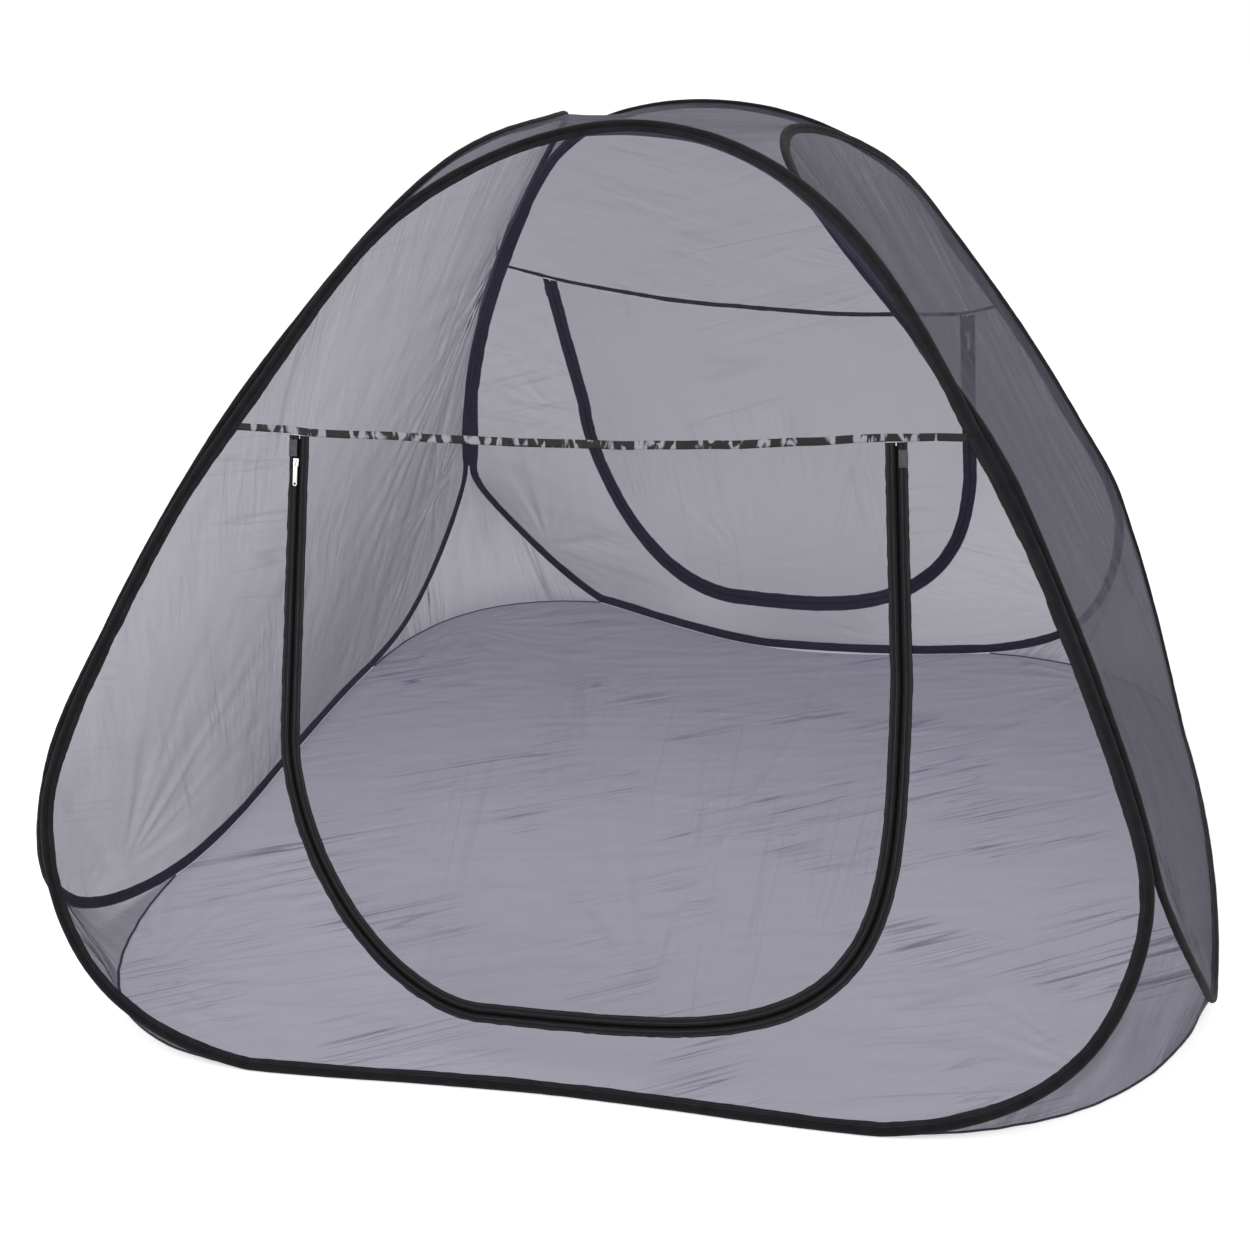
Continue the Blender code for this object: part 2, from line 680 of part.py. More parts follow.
    def make_door(self):
        edge_n = COIL_SPLIT + COIL_WIDTH + GAP + ZIP_TAPE_WIDTH + GAP
        patch = Patch(self.hoop.across, UP)
        for station in self.zip_stations(0.0):
            _, normal, _ = self.face(station[0], station[1])
            patch.edge(self.zip_point(station, -edge_n), normal)
        patch.build(f"{self.name}_door_net", NET_CELL, origin=self.axis)

    def make_zip(self):
        coil_far = COIL_SPLIT + COIL_WIDTH
        tape_near = coil_far + GAP
        tape_far = tape_near + ZIP_TAPE_WIDTH
        for side, sign, origin in (("wall", 1, None), ("door", -1, self.axis)):
            self.zip_strip(f"{self.name}_{side}_zip_coil", sign * COIL_SPLIT, sign * coil_far,
                           COIL_THICKNESS, "zip_coil", COIL_DROP, origin)
            self.zip_strip(f"{self.name}_{side}_zip_tape", sign * tape_near, sign * tape_far,
                           ZIP_TAPE_THICKNESS, "zip_tape", 0.0, origin)

    def make_patches(self):
        """Strips sewn over the zip tape at the top of each leg, on the wall's side."""
        near = COIL_SPLIT + COIL_WIDTH + GAP
        far = near + ZIP_TAPE_WIDTH
        low = ZIP_TAPE_THICKNESS / 2 + GAP
        high = low + PATCH_THICKNESS
        for side, word in ((-1, "left"), (1, "right")):
            sections = []
            for s in (COIL_DROP, COIL_DROP + PATCH_LENGTH):
                station = self.leg_station(side, s)
                corners = [(near, low), (far, low), (far, high), (near, high)]
                sections.append([self.zip_point(station, n, w) for n, w in corners])
            sweep(f"{self.name}_{word}_zip_patch", sections, "end_patch", False)

    def slider_frame(self):
        """Where the slider is parked on the left leg: its middle, across (out of the door), down and out."""
        point, normal, down = self.face(*self.leg_station(-1, SLIDER_PARK)[:2])
        _, flare, length, _ = self.legs[-1]
        leg = (down * length - self.along * flare).normalized()
        return point, leg.cross(normal).normalized(), leg, normal


def between_rings(first, second):
    """A closed solid between two rings that have the same number of points."""
    count = len(first)
    faces = [tuple(range(count)), tuple(range(count, 2 * count))]
    faces += [(k, (k + 1) % count, count + (k + 1) % count, count + k) for k in range(count)]
    return [*first, *second], faces


def plate(outline, half):
    """An outline across and along, with its thickness outwards and inwards."""
    return between_rings([(x, y, -half) for x, y in outline], [(x, y, half) for x, y in outline])


def prism(outline, low, high, axis):
    """An outline in two axes carried along the third: axis 1 is along the leg, axis 0 is across it."""
    if axis == 1:
        return between_rings([(x, low, z) for x, z in outline], [(x, high, z) for x, z in outline])
    return between_rings([(low, y, z) for y, z in outline], [(high, y, z) for y, z in outline])


def combine(body, others, operation):
    """Booleans applied in order, so that the body is one closed solid. The helper objects are removed."""
    for other in others:
        change = body.modifiers.new(other.name, "BOOLEAN")
        change.operation = operation
        change.solver = "EXACT"
        change.object = other
        bpy.context.view_layer.update()
        result = bpy.data.meshes.new_from_object(body.evaluated_get(bpy.context.evaluated_depsgraph_get()))
        body.modifiers.clear()
        body.data = result
        bpy.data.objects.remove(other, do_unlink=True)


def seat(thing, origin, across, down, out):
    """Stands an object whose mesh is (across, down, out) at a place on the wall."""
    turn = Matrix((across, down, out)).transposed().to_4x4()
    thing.data.transform(turn)
    if turn.determinant() < 0:
        thing.data.flip_normals()
    thing.location = origin
    return thing


def slider_sizes():
    plate_near = COIL_THICKNESS / 2 + GAP
    plate_far = plate_near + SLIDER_PLATE
    fixed_edge = SLIDER_POST / 2 + PULL_WIDTH + SLIDER_LIP
    crown_middle = SLIDER_POST / 2 + PULL_WIDTH / 2
    return plate_near, plate_far, fixed_edge, crown_middle


def make_slider(wall):
    """Two plates on a thin post between the zip's halves, with a crown on each for its pull.

    The outer plate covers only the wall's half of the zip, so that the door can swing out past it.
    """
    near, far, edge, middle = slider_sizes()
    post = SLIDER_POST / 2
    lip = ZIP_TAPE_THICKNESS / 2 + GAP
    open_edge = SLIDER_WIDTH / 2
    inner_edge = edge - SLIDER_LIP
    profile = [(post, near), (inner_edge, near), (inner_edge, lip), (edge, lip), (edge, far), (-post, far),
               (-post, -near), (-open_edge, -near), (-open_edge, -far), (edge, -far), (edge, -lip),
               (inner_edge, -lip), (inner_edge, -near), (post, -near)]
    half = SLIDER_LENGTH / 2
    name = f"{wall.name}_zip_slider"
    body = add_object(name, *prism(profile, -half, half, 1), "zip_metal")
    arches = []
    for sign in (1, -1):
        base = far - SLIDER_PLATE / 2
        outer = CROWN_LENGTH / 2
        inner = outer - CROWN_BAR
        top = far + CROWN_HEIGHT
        arch = [(-outer, base), (-outer, top), (outer, top), (outer, base),
                (inner, base), (inner, top - CROWN_BAR), (-inner, top - CROWN_BAR), (-inner, base)]
        arch = [(s, sign * w) for s, w in arch]
        arches.append(add_object(f"{name}_crown_{sign}", *prism(arch, middle - CROWN_WIDTH / 2,
                                                               middle + CROWN_WIDTH / 2, 0), "zip_metal"))
    combine(body, arches, "UNION")
    origin, across, down, out = wall.slider_frame()
    seat(body, origin, across, down, out)


def pull_pivot(wall, sign):
    """The pull's hinge line runs across the slider, under its crown."""
    _, far, _, middle = slider_sizes()
    origin, across, _, out = wall.slider_frame()
    lift = far + (CROWN_HEIGHT - CROWN_BAR) / 2
    return origin + across * middle + out * sign * lift


def make_pull(wall, name, sign):
    """A flat tab with a window that holds the crown, and a round hole at its free end."""
    half = PULL_WIDTH / 2
    thick = PULL_THICKNESS / 2
    nose = half / 2
    outline = [(-half, -thick), (half, -thick), (half, PULL_LENGTH - nose), (half - nose, PULL_LENGTH),
               (-half + nose, PULL_LENGTH), (-half, PULL_LENGTH - nose)]
    tab = add_object(name, *plate(outline, thick), "zip_metal")
    side = PULL_WINDOW_WIDTH / 2
    top = thick + PULL_WINDOW_LENGTH
    opening = [(-side, thick), (side, thick), (side, top), (-side, top)]
    window = add_object(name + "_window", *plate(opening, 2 * thick), "zip_metal")
    hole_middle = PULL_LENGTH - half
    turns = [2 * math.pi * k / HOLE_SIDES for k in range(HOLE_SIDES)]
    ring = [(PULL_HOLE_RADIUS * math.cos(t), hole_middle + PULL_HOLE_RADIUS * math.sin(t)) for t in turns]
    hole = add_object(name + "_hole", *plate(ring, 2 * thick), "zip_metal")
    combine(tab, [window, hole], "DIFFERENCE")
    _, across, down, out = wall.slider_frame()
    if sign < 0:
        # The inner pull hangs straight down, away from the leaning wall
        down = -UP
        down = (down - across * down.dot(across)).normalized()
        out = across.cross(down).normalized()
    seat(tab, pull_pivot(wall, sign), across, down, out)


def beside(hoop, i, others, centre):
    """Where a net sewn to this station heads: the nearest other hoop, or the net's middle if that is far."""
    here = hoop.curve[i]
    places = [point for other in others for point in other.curve[::SEARCH_STEPS]]
    near = min(places, key=lambda p: (p - here).length)
    return near.lerp(centre, min(1, (near - here).length / (HALF_WIDTH * AIM_SHARE)))


def clear_stations(hoop, stations, others):
    """The stations that stand clear of the hoops beside this one."""
    places = [point for other in others for point in other.curve[::SEARCH_STEPS]]
    kept = []
    for i in stations:
        if min((hoop.curve[i] - point).length for point in places) > SEAM_CLEAR:
            kept.append(i)
    return kept


def make_roof(hoops):
    """The net between the four arches, sewn to the side of each sleeve that faces the roof."""
    tops = [hoop.curve[0] for hoop in hoops.values()]
    centre = sum(tops, Vector((0, 0, 0))) / len(tops)
    patch = Patch(Vector((1, 0, 0)), Vector((0, 1, 0)))
    reach = SLEEVE_RADIUS + GAP + NET_THICKNESS / 2
    # Seen from above, this order and each arch's own order from its left end both run anticlockwise
    for name in ("front", "right", "back", "left"):
        hoop = hoops[name]
        others = [other for other in hoops.values() if other is not hoop]
        total = len(hoop.curve)
        ordered = sorted(hoop.stations, key=lambda i: (i + total // 2) % total)
        upper = [i for i in ordered if hoop.curve[i].z > HEIGHT * ROOF_FOOT_SHARE]
        for i in clear_stations(hoop, upper, others):
            patch.edge(hoop.toward(i, beside(hoop, i, others, centre), reach))
    patch.build("roof_net", SMALL_NET_CELL)


def lower_run(hoop, side, other):
    """The stations down one corner of a hoop, from where it leaves the seam to where it meets the ground."""
    half = len(hoop.curve) // 2
    if side == "right":
        run = [i for i in hoop.stations if i <= half]
    else:
        run = [i for i in reversed(hoop.stations) if i >= half]
    run = [i for i in run if hoop.curve[i].z < HEIGHT * CORNER_TOP_SHARE]
    run = clear_stations(hoop, run, [other])
    touching = next(k for k, i in enumerate(run) if hoop.curve[i].z <= STAND_HEIGHT * TOUCH_RATIO)
    return run[:touching + 1]


class Corner:
    """A lower corner of the tent, between the right side of one hoop and the left side of the next."""

    def __init__(self, name, first, second):
        self.name = name
        self.hoops = (first, second)
        self.runs = (lower_run(first, "right", second), lower_run(second, "left", first))
        self.reach = SLEEVE_RADIUS + GAP + NET_THICKNESS / 2
        middle = Vector((SHIFT_X, SHIFT_Y, STAND_HEIGHT))
        self.ends = [hoop.toward(run[-1], middle, self.reach) for hoop, run in zip(self.hoops, self.runs)]
        # The outline's peak lies where the two hoops' bottoms would meet, drawn in a little
        peak = Vector((0, 0, 0))
        for hoop, end in zip(self.hoops, self.ends):
            out = Vector((abs(hoop.out.x), abs(hoop.out.y), 0))
            peak += out * end.dot(out) - hoop.out * FLOOR_CORNER_INSET
        self.peak = peak

    def outline(self, height):
        """The rounded corner of the floor, at a height, from the first hoop to the second."""
        start, end = self.ends
        points = []
        for k in range(CORNER_STEPS + 1):
            t = k / CORNER_STEPS
            point = start * (1 - t) ** 2 + self.peak * 2 * t * (1 - t) + end * t ** 2
            points.append(Vector((point.x, point.y, height)))
        return points

    def side(self, which):
        """Points down the sleeve of one hoop, on the side that faces the other."""
        hoop, other = self.hoops[which], self.hoops[1 - which]
        points = []
        for i in self.runs[which][:-1]:
            here = hoop.curve[i]
            facing = [*other.seam_side(("left", "right")[which]), *self.foot_side(other, which)]
            aim = min((other.curve[k] for k in facing), key=lambda p: abs(p.z - here.z))
            points.append(hoop.toward(i, aim, self.reach))
        return points

    def foot_side(self, hoop, which):
        """The curve below the seam, on the side of the hoop where this corner lies."""
        half = len(hoop.curve) // 2
        low = SPLINE_STEPS * (hoop.seam_count + 2)
        if which == 1:
            return range(low, half)
        return range(half, len(hoop.curve) - low)

    def make_gusset(self):
        """The net from the floor's corner up to where the two hoops meet."""
        foot = NET_THICKNESS + GAP + NET_THICKNESS / 2
        diagonal = (self.hoops[0].out + self.hoops[1].out).normalized()
        patch = Patch((-diagonal).cross(UP), UP)
        for point in self.side(0) + self.outline(foot) + self.side(1)[::-1]:
            patch.edge(point)
        patch.build(f"{self.name}_gusset", SMALL_NET_CELL)


def make_floor(corners):
    """The floor net, flat on the ground: round each corner, then along the next hoop's bottom."""
    level = NET_THICKNESS / 2
    middle = Vector((SHIFT_X, SHIFT_Y, STAND_HEIGHT))
    patch = Patch(Vector((1, 0, 0)), Vector((0, 1, 0)))
    for corner, after in zip(corners, corners[1:] + corners[:1]):
        for point in corner.outline(level):
            patch.edge(point, UP)
        hoop = corner.hoops[1]
        bottom = hoop.between(after.runs[0][-1], corner.runs[1][-1])[::-1]
        for i in bottom[1:-1]:
            point = hoop.toward(i, middle, corner.reach)
            patch.edge(Vector((point.x, point.y, level)), UP)
    patch.build("floor_net", NET_CELL, level=level)


def main():
    clear_scene()
    hoops = {name: Hoop(name) for name in HOOP_SHARES}
    part_seams(hoops)
    for hoop in hoops.values():
        hoop.stations = hoop.spread(HOOP_STATIONS)
    walls = [Wall(hoops["front"]), Wall(hoops["back"])]
    for hoop in hoops.values():
        make_sleeve(hoop)
        make_wire(hoop)
        make_ferrule(hoop)
    make_side_net(hoops["left"])
    make_side_net(hoops["right"])
    make_roof(hoops)
    # Seen from above, the corners run anticlockwise, so the second hoop of each is the first of the next
    corners = [Corner("front_right", hoops["front"], hoops["right"]),
               Corner("back_right", hoops["right"], hoops["back"]),
               Corner("back_left", hoops["back"], hoops["left"]),
               Corner("front_left", hoops["left"], hoops["front"])]
    make_floor(corners)
    for corner in corners:
        corner.make_gusset()
    for wall in walls:
        wall.make_tape()
        wall.make_upper_net()
        wall.make_lower_net()
        wall.make_door()
        wall.make_zip()
        wall.make_patches()
        make_slider(wall)
        make_pull(wall, f"{wall.name}_outer_pull", 1)
        make_pull(wall, f"{wall.name}_inner_pull", -1)


main()
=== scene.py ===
"""Pop-up mosquito net tent: the looks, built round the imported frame.

Units are metres and +Z is up. The front end wall faces -Y and the tent's right side is +X.
"""
import math

import bmesh
import bpy
import numpy as np
from mathutils import Matrix, Vector, geometry, kdtree


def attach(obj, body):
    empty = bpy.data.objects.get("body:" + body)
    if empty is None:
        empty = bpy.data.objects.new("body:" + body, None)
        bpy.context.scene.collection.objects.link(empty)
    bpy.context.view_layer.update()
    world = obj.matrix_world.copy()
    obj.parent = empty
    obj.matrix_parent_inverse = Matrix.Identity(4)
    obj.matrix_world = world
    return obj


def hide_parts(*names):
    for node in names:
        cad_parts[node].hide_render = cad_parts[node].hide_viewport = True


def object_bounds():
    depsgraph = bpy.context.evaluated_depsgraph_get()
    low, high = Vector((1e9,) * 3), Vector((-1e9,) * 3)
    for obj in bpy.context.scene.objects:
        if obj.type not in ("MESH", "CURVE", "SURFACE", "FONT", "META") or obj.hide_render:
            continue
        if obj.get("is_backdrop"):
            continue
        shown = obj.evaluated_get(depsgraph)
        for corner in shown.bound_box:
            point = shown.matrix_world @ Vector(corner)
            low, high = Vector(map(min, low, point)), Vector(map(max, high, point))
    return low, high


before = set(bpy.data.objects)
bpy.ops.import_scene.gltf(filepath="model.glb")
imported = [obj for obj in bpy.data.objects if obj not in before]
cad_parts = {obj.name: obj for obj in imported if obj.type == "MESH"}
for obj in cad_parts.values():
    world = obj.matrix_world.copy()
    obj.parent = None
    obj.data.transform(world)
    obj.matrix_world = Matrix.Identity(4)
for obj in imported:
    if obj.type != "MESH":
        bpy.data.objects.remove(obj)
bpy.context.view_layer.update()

# Overall sizes, as in the frame
HALF_WIDTH = 1.10
HALF_DEPTH = 1.20
HEIGHT = 1.50
SHIFT_X = -0.033
SHIFT_Y = -0.048
GAP = 0.0003

# Hoops
WIRE_RADIUS = 0.0020
WIRE_STEP = 3
SLEEVE_RADIUS = 0.0065
TUNNEL_SHIFT = 0.0013
HEM_WIDTH = 0.0195
HEM_HALF = 0.0016
HEM_EDGE = 0.0160
NET_CLEAR = 0.0025
NET_PITCH = 0.0013
STAND_HEIGHT = SLEEVE_RADIUS
SEAM_SLACK_RATIO = 1.12

# End walls
TAPE_WIDTH = 0.0145
TAPE_THICKNESS = 0.0010
TAPE_HEIGHT_SHARES = {"front": (0.689, 0.717), "back": (0.640, 0.683)}

# Door and its zip. The left and right legs of the zip, as seen from outside: how far out its top is, as a share of
# half the hinge line, how far it flares out and how long it is straight, as shares of the wall below the tape, and
# how square the curve below it is. The foot is the zip's lowest point: its place along the hinge line and down the
# wall, and how far the wall bends inwards there, as the same shares.
LEG_SHARES = {"front": ((0.840, 0.008, 0.463, 1.75), (0.793, 0.021, 0.345, 4.0)),
              "back": ((0.805, 0.043, 0.470, 3.2), (0.872, -0.054, 0.351, 2.0))}
FOOT_SHARES = {"front": (-0.290, 0.885, 0.018), "back": (0.080, 0.845, 0.120)}

# How far the hinge tape hangs below its straight line: places along it and drops, as shares of half the hinge line
SAG_SHARES = {
    "front": [(-1.10, -0.016), (-0.95, -0.012), (-0.80, 0.002), (-0.45, 0.012), (0, 0.024), (0.40, 0.016),
              (0.60, 0.002), (0.80, -0.012), (1.10, -0.014)],
    "back": [(-0.96, -0.090), (-0.84, -0.016), (-0.76, -0.002), (-0.60, 0.010), (-0.32, 0.040), (0, 0.042),
             (0.30, 0.040), (0.54, 0.018), (0.72, -0.006), (0.88, -0.030), (1.08, -0.082)],
}
SAG_REACH = 0.30
COIL_WIDTH = 0.0032
ZIP_TAPE_WIDTH = 0.0145
ZIP_EDGE = COIL_WIDTH + ZIP_TAPE_WIDTH
COIL_DROP = 0.006
PATCH_LENGTH = 0.028
ZIP_TAPE_HALF = 0.00045
ZIP_PITCH = 0.004
TOOTH_PITCH = 0.000625
# The coil's teeth are long and short in turn: half their lengths, as shares of the coil's width, and half their
# thicknesses
TOOTH_SHARES = (0.62, 0.42)
TOOTH_HALVES = (0.0012, 0.0009)
NET_UNDER_TAPE = 0.003
NET_ABOVE_DOOR = 0.004
NET_BEYOND_TAPE = 0.008

SEAM_SHARES = {
    "front_left": [(-0.50, -0.62, 0.80), (-0.68, -0.71, 0.61), (-0.80, -0.79, 0.44), (-0.87, -0.88, 0.28)],
    "front_right": [(0.56, -0.67, 0.73), (0.66, -0.72, 0.61), (0.77, -0.77, 0.44), (0.85, -0.81, 0.28)],
    "back_left": [(-0.55, 0.59, 0.79), (-0.68, 0.70, 0.61), (-0.76, 0.79, 0.44), (-0.82, 0.92, 0.28)],
    "back_right": [(0.42, 0.58, 0.79), (0.59, 0.69, 0.61), (0.73, 0.78, 0.44), (0.84, 0.85, 0.28)],
}
HOOP_SHARES = {
    "front": ("front_right", "front_left", [
        (-0.03, -0.37, 1.01), (0.33, -0.49, 0.92), (0.77, -0.88, 0.09), (0.49, -0.94, 0),
        (0, -0.95, 0), (-0.49, -0.99, 0), (-0.77, -0.97, 0.10), (-0.34, -0.51, 0.93)]),
    "left": ("front_left", "back_left", [
        (-0.28, 0, 0.99), (-0.35, -0.32, 0.96), (-0.95, -0.74, 0.06), (-0.90, -0.46, 0),
        (-0.91, 0, 0), (-0.93, 0.46, 0), (-0.90, 0.74, 0.06), (-0.35, 0.32, 0.96)]),
    "back": ("back_left", "back_right", [
        (0.07, 0.38, 0.98), (-0.33, 0.44, 0.95), (-0.77, 1.06, 0.15), (-0.49, 1.01, 0),
        (0, 0.80, 0), (0.49, 0.85, 0), (0.77, 0.90, 0.06), (0.33, 0.47, 0.88)]),
    "right": ("back_right", "front_right", [
        (0.17, 0, 0.98), (0.30, 0.32, 0.92), (0.94, 0.74, 0.09), (0.99, 0.46, 0),
        (1.01, 0, 0), (0.99, -0.46, 0), (0.93, -0.74, 0.14), (0.28, -0.32, 0.90)]),
}
NEIGHBOURS = (("front", "right"), ("right", "back"), ("back", "left"), ("left", "front"))
OUTWARD = {"front": Vector((0, -1, 0)), "left": Vector((-1, 0, 0)),
           "back": Vector((0, 1, 0)), "right": Vector((1, 0, 0))}
RIGHT = OUTWARD["right"]
BACK = OUTWARD["back"]
UP = Vector((0, 0, 1))
SPLINE_STEPS = 120
CURVE_STEPS = 60
LEG_STEPS = 40

# Roof, gussets and floor, as in the frame
FLOOR_CORNER_INSET = 0.012
SEAM_CLEAR = 0.0175
SEAM_WEB_HALF = 0.0016
EDGE_STEP = 4
AIM_SHARE = 0.50
ROOF_FOOT_SHARE = 0.70
CORNER_TOP_SHARE = 0.30
TOUCH_RATIO = 1.3


# The frame's own lines, worked out as the frame's source does


def place(shares):
    x = shares[0] * HALF_WIDTH + SHIFT_X
    y = shares[1] * HALF_DEPTH + SHIFT_Y
    return Vector((x, y, STAND_HEIGHT + shares[2] * (HEIGHT - STAND_HEIGHT)))


def closed_curve(points):
    """A smooth closed curve through the points, as a dense list: a periodic cubic spline."""
    p = np.array([tuple(point) for point in points])
    count = len(p)
    ahead = np.roll(p, -1, axis=0)
    step = np.sqrt(np.linalg.norm(ahead - p, axis=1))
    slope = (ahead - p) / step[:, None]
    matrix = np.zeros((count, count))
    for i in range(count):
        matrix[i, i - 1] = step[i - 1]
        matrix[i, i] = 2 * (step[i - 1] + step[i])
        matrix[i, (i + 1) % count] = step[i]
    bend = np.linalg.solve(matrix, 6 * (slope - np.roll(slope, 1, axis=0)))
    bend_ahead = np.roll(bend, -1, axis=0)
    dense = []
    for i in range(count):
        for k in range(SPLINE_STEPS):
            b = k / SPLINE_STEPS
            a = 1 - b
            bow = ((a ** 3 - a) * bend[i] + (b ** 3 - b) * bend_ahead[i]) * step[i] ** 2 / 6
            dense.append(Vector(a * p[i] + b * ahead[i] + bow))
    return dense


def lengths_along(line):
    """How far along the line each of its points lies."""
    return np.concatenate([[0], np.cumsum(np.linalg.norm(np.diff(line, axis=0), axis=1))])


def read_at(places, lengths, table):
    """The table's rows at places between its own lengths."""
    return np.stack([np.interp(places, lengths, column) for column in table.T], 1)


def eased(share):
    """Turns an even rise from 0 to 1 into a soft one."""
    return share ** 2 * (3 - 2 * share)


def turn_angles(count):
    return np.linspace(0, 2 * math.pi, count, endpoint=False)


class Hoop:
    """One closed hoop: its centre line, and the frame at each place on it."""

    def __init__(self, name):
        right_seam, left_seam, own = HOOP_SHARES[name]
        self.name = name
        self.out = OUTWARD[name]
        self.across = (-self.out).cross(UP)
        self.middle = Vector((SHIFT_X, SHIFT_Y, 0))
        step_in = (2 * SLEEVE_RADIUS + GAP) * math.sqrt(0.5) * 1.02
        right = [place(s) - self.across * step_in for s in SEAM_SHARES[right_seam]]
        left = [place(s) + self.across * step_in for s in SEAM_SHARES[left_seam]]
        top, shoulder, corner, foot, bottom, left_foot, left_corner, left_shoulder = [place(s) for s in own]
        points = [top, shoulder, *right, corner, foot, bottom, left_foot, left_corner, *left[::-1], left_shoulder]
        self.seam_count = len(right)
        self.curve = closed_curve(points)
        for point in self.curve:
            point.z = max(point.z, STAND_HEIGHT)
        self.low_aim = self.wall_middle(right[-1], left[-1])
        self.high_aim = self.wall_middle(right[0], left[0])

    def wall_middle(self, first, second):
        point = (first + second) / 2
        point -= self.across * (point - self.middle).dot(self.across)
        return point

    def tangent(self, i):
        count = len(self.curve)
        return (self.curve[(i + 3) % count] - self.curve[(i - 3) % count]).normalized()

    def seam_side(self, side):
        first = SPLINE_STEPS
        last = SPLINE_STEPS * (self.seam_count + 2)
        if side == "right":
            return list(range(first, last))
        total = len(self.curve)
        return list(range(total - first, total - last, -1))

    def frame(self, i):
        """The centre, the direction into the wall and the direction out of the tent."""
        centre = self.curve[i]
        along = self.tangent(i)
        rise = (centre.z - self.low_aim.z) / (self.high_aim.z - self.low_aim.z)
        aim = self.low_aim.lerp(self.high_aim, min(max(rise, 0), 1))
        inward = aim - centre
        inward = (inward - along * inward.dot(along)).normalized()
        outside = along.cross(inward).normalized()
        if outside.dot(self.out) < 0:
            outside.negate()
        return centre, inward, outside

    def point(self, i, u, w=0.0):
        centre, inward, outside = self.frames[i % len(self.frames)]
        return centre + inward * u + outside * w

    def toward(self, i, aim, reach):
        """A point on the sleeve, on the side that faces the aim."""
        centre = self.curve[i]
        along = self.tangent(i)
        way = aim - centre
        return centre + (way - along * way.dot(along)).normalized() * reach

    def reach_height(self, low, high, height):
        return min(range(low, high), key=lambda i: abs(self.point(i, HEM_WIDTH).z - height))


def part_seams(hoops):
    """Presses the sleeves apart wherever two hoops side by side come closer than their sleeves allow."""
    need = (2 * SLEEVE_RADIUS + 2 * GAP) * SEAM_SLACK_RATIO
    moves = []
    for first, second in NEIGHBOURS:
        for hoop, side, other, other_side in ((hoops[first], "right", hoops[second], "left"),
                                              (hoops[second], "left", hoops[first], "right")):
            inward = -hoop.across if side == "right" else hoop.across
            other_inward = -other.across if other_side == "right" else other.across
            apart = (inward - other_inward).normalized()
            beside = [other.curve[i] for i in other.seam_side(other_side)][::-1]
            heights = [p.z for p in beside]
            run = hoop.seam_side(side)
            pushes = []
            for i in run:
                point = hoop.curve[i]
                near = Vector((np.interp(point.z, heights, [p.x for p in beside]),
                               np.interp(point.z, heights, [p.y for p in beside]), point.z))
                pushes.append(max(0.0, need - (point - near).dot(apart)) / 2)
            window = SPLINE_STEPS // 3
            eased = np.convolve(np.pad(pushes, window, "edge"), np.ones(window) / window, "same")[window:-window]
            moves.append((hoop, run, apart, [max(a, b) for a, b in zip(eased, pushes)]))
    for hoop, run, apart, pushes in moves:
        for i, push in zip(run, pushes):
            hoop.curve[i] += apart * push


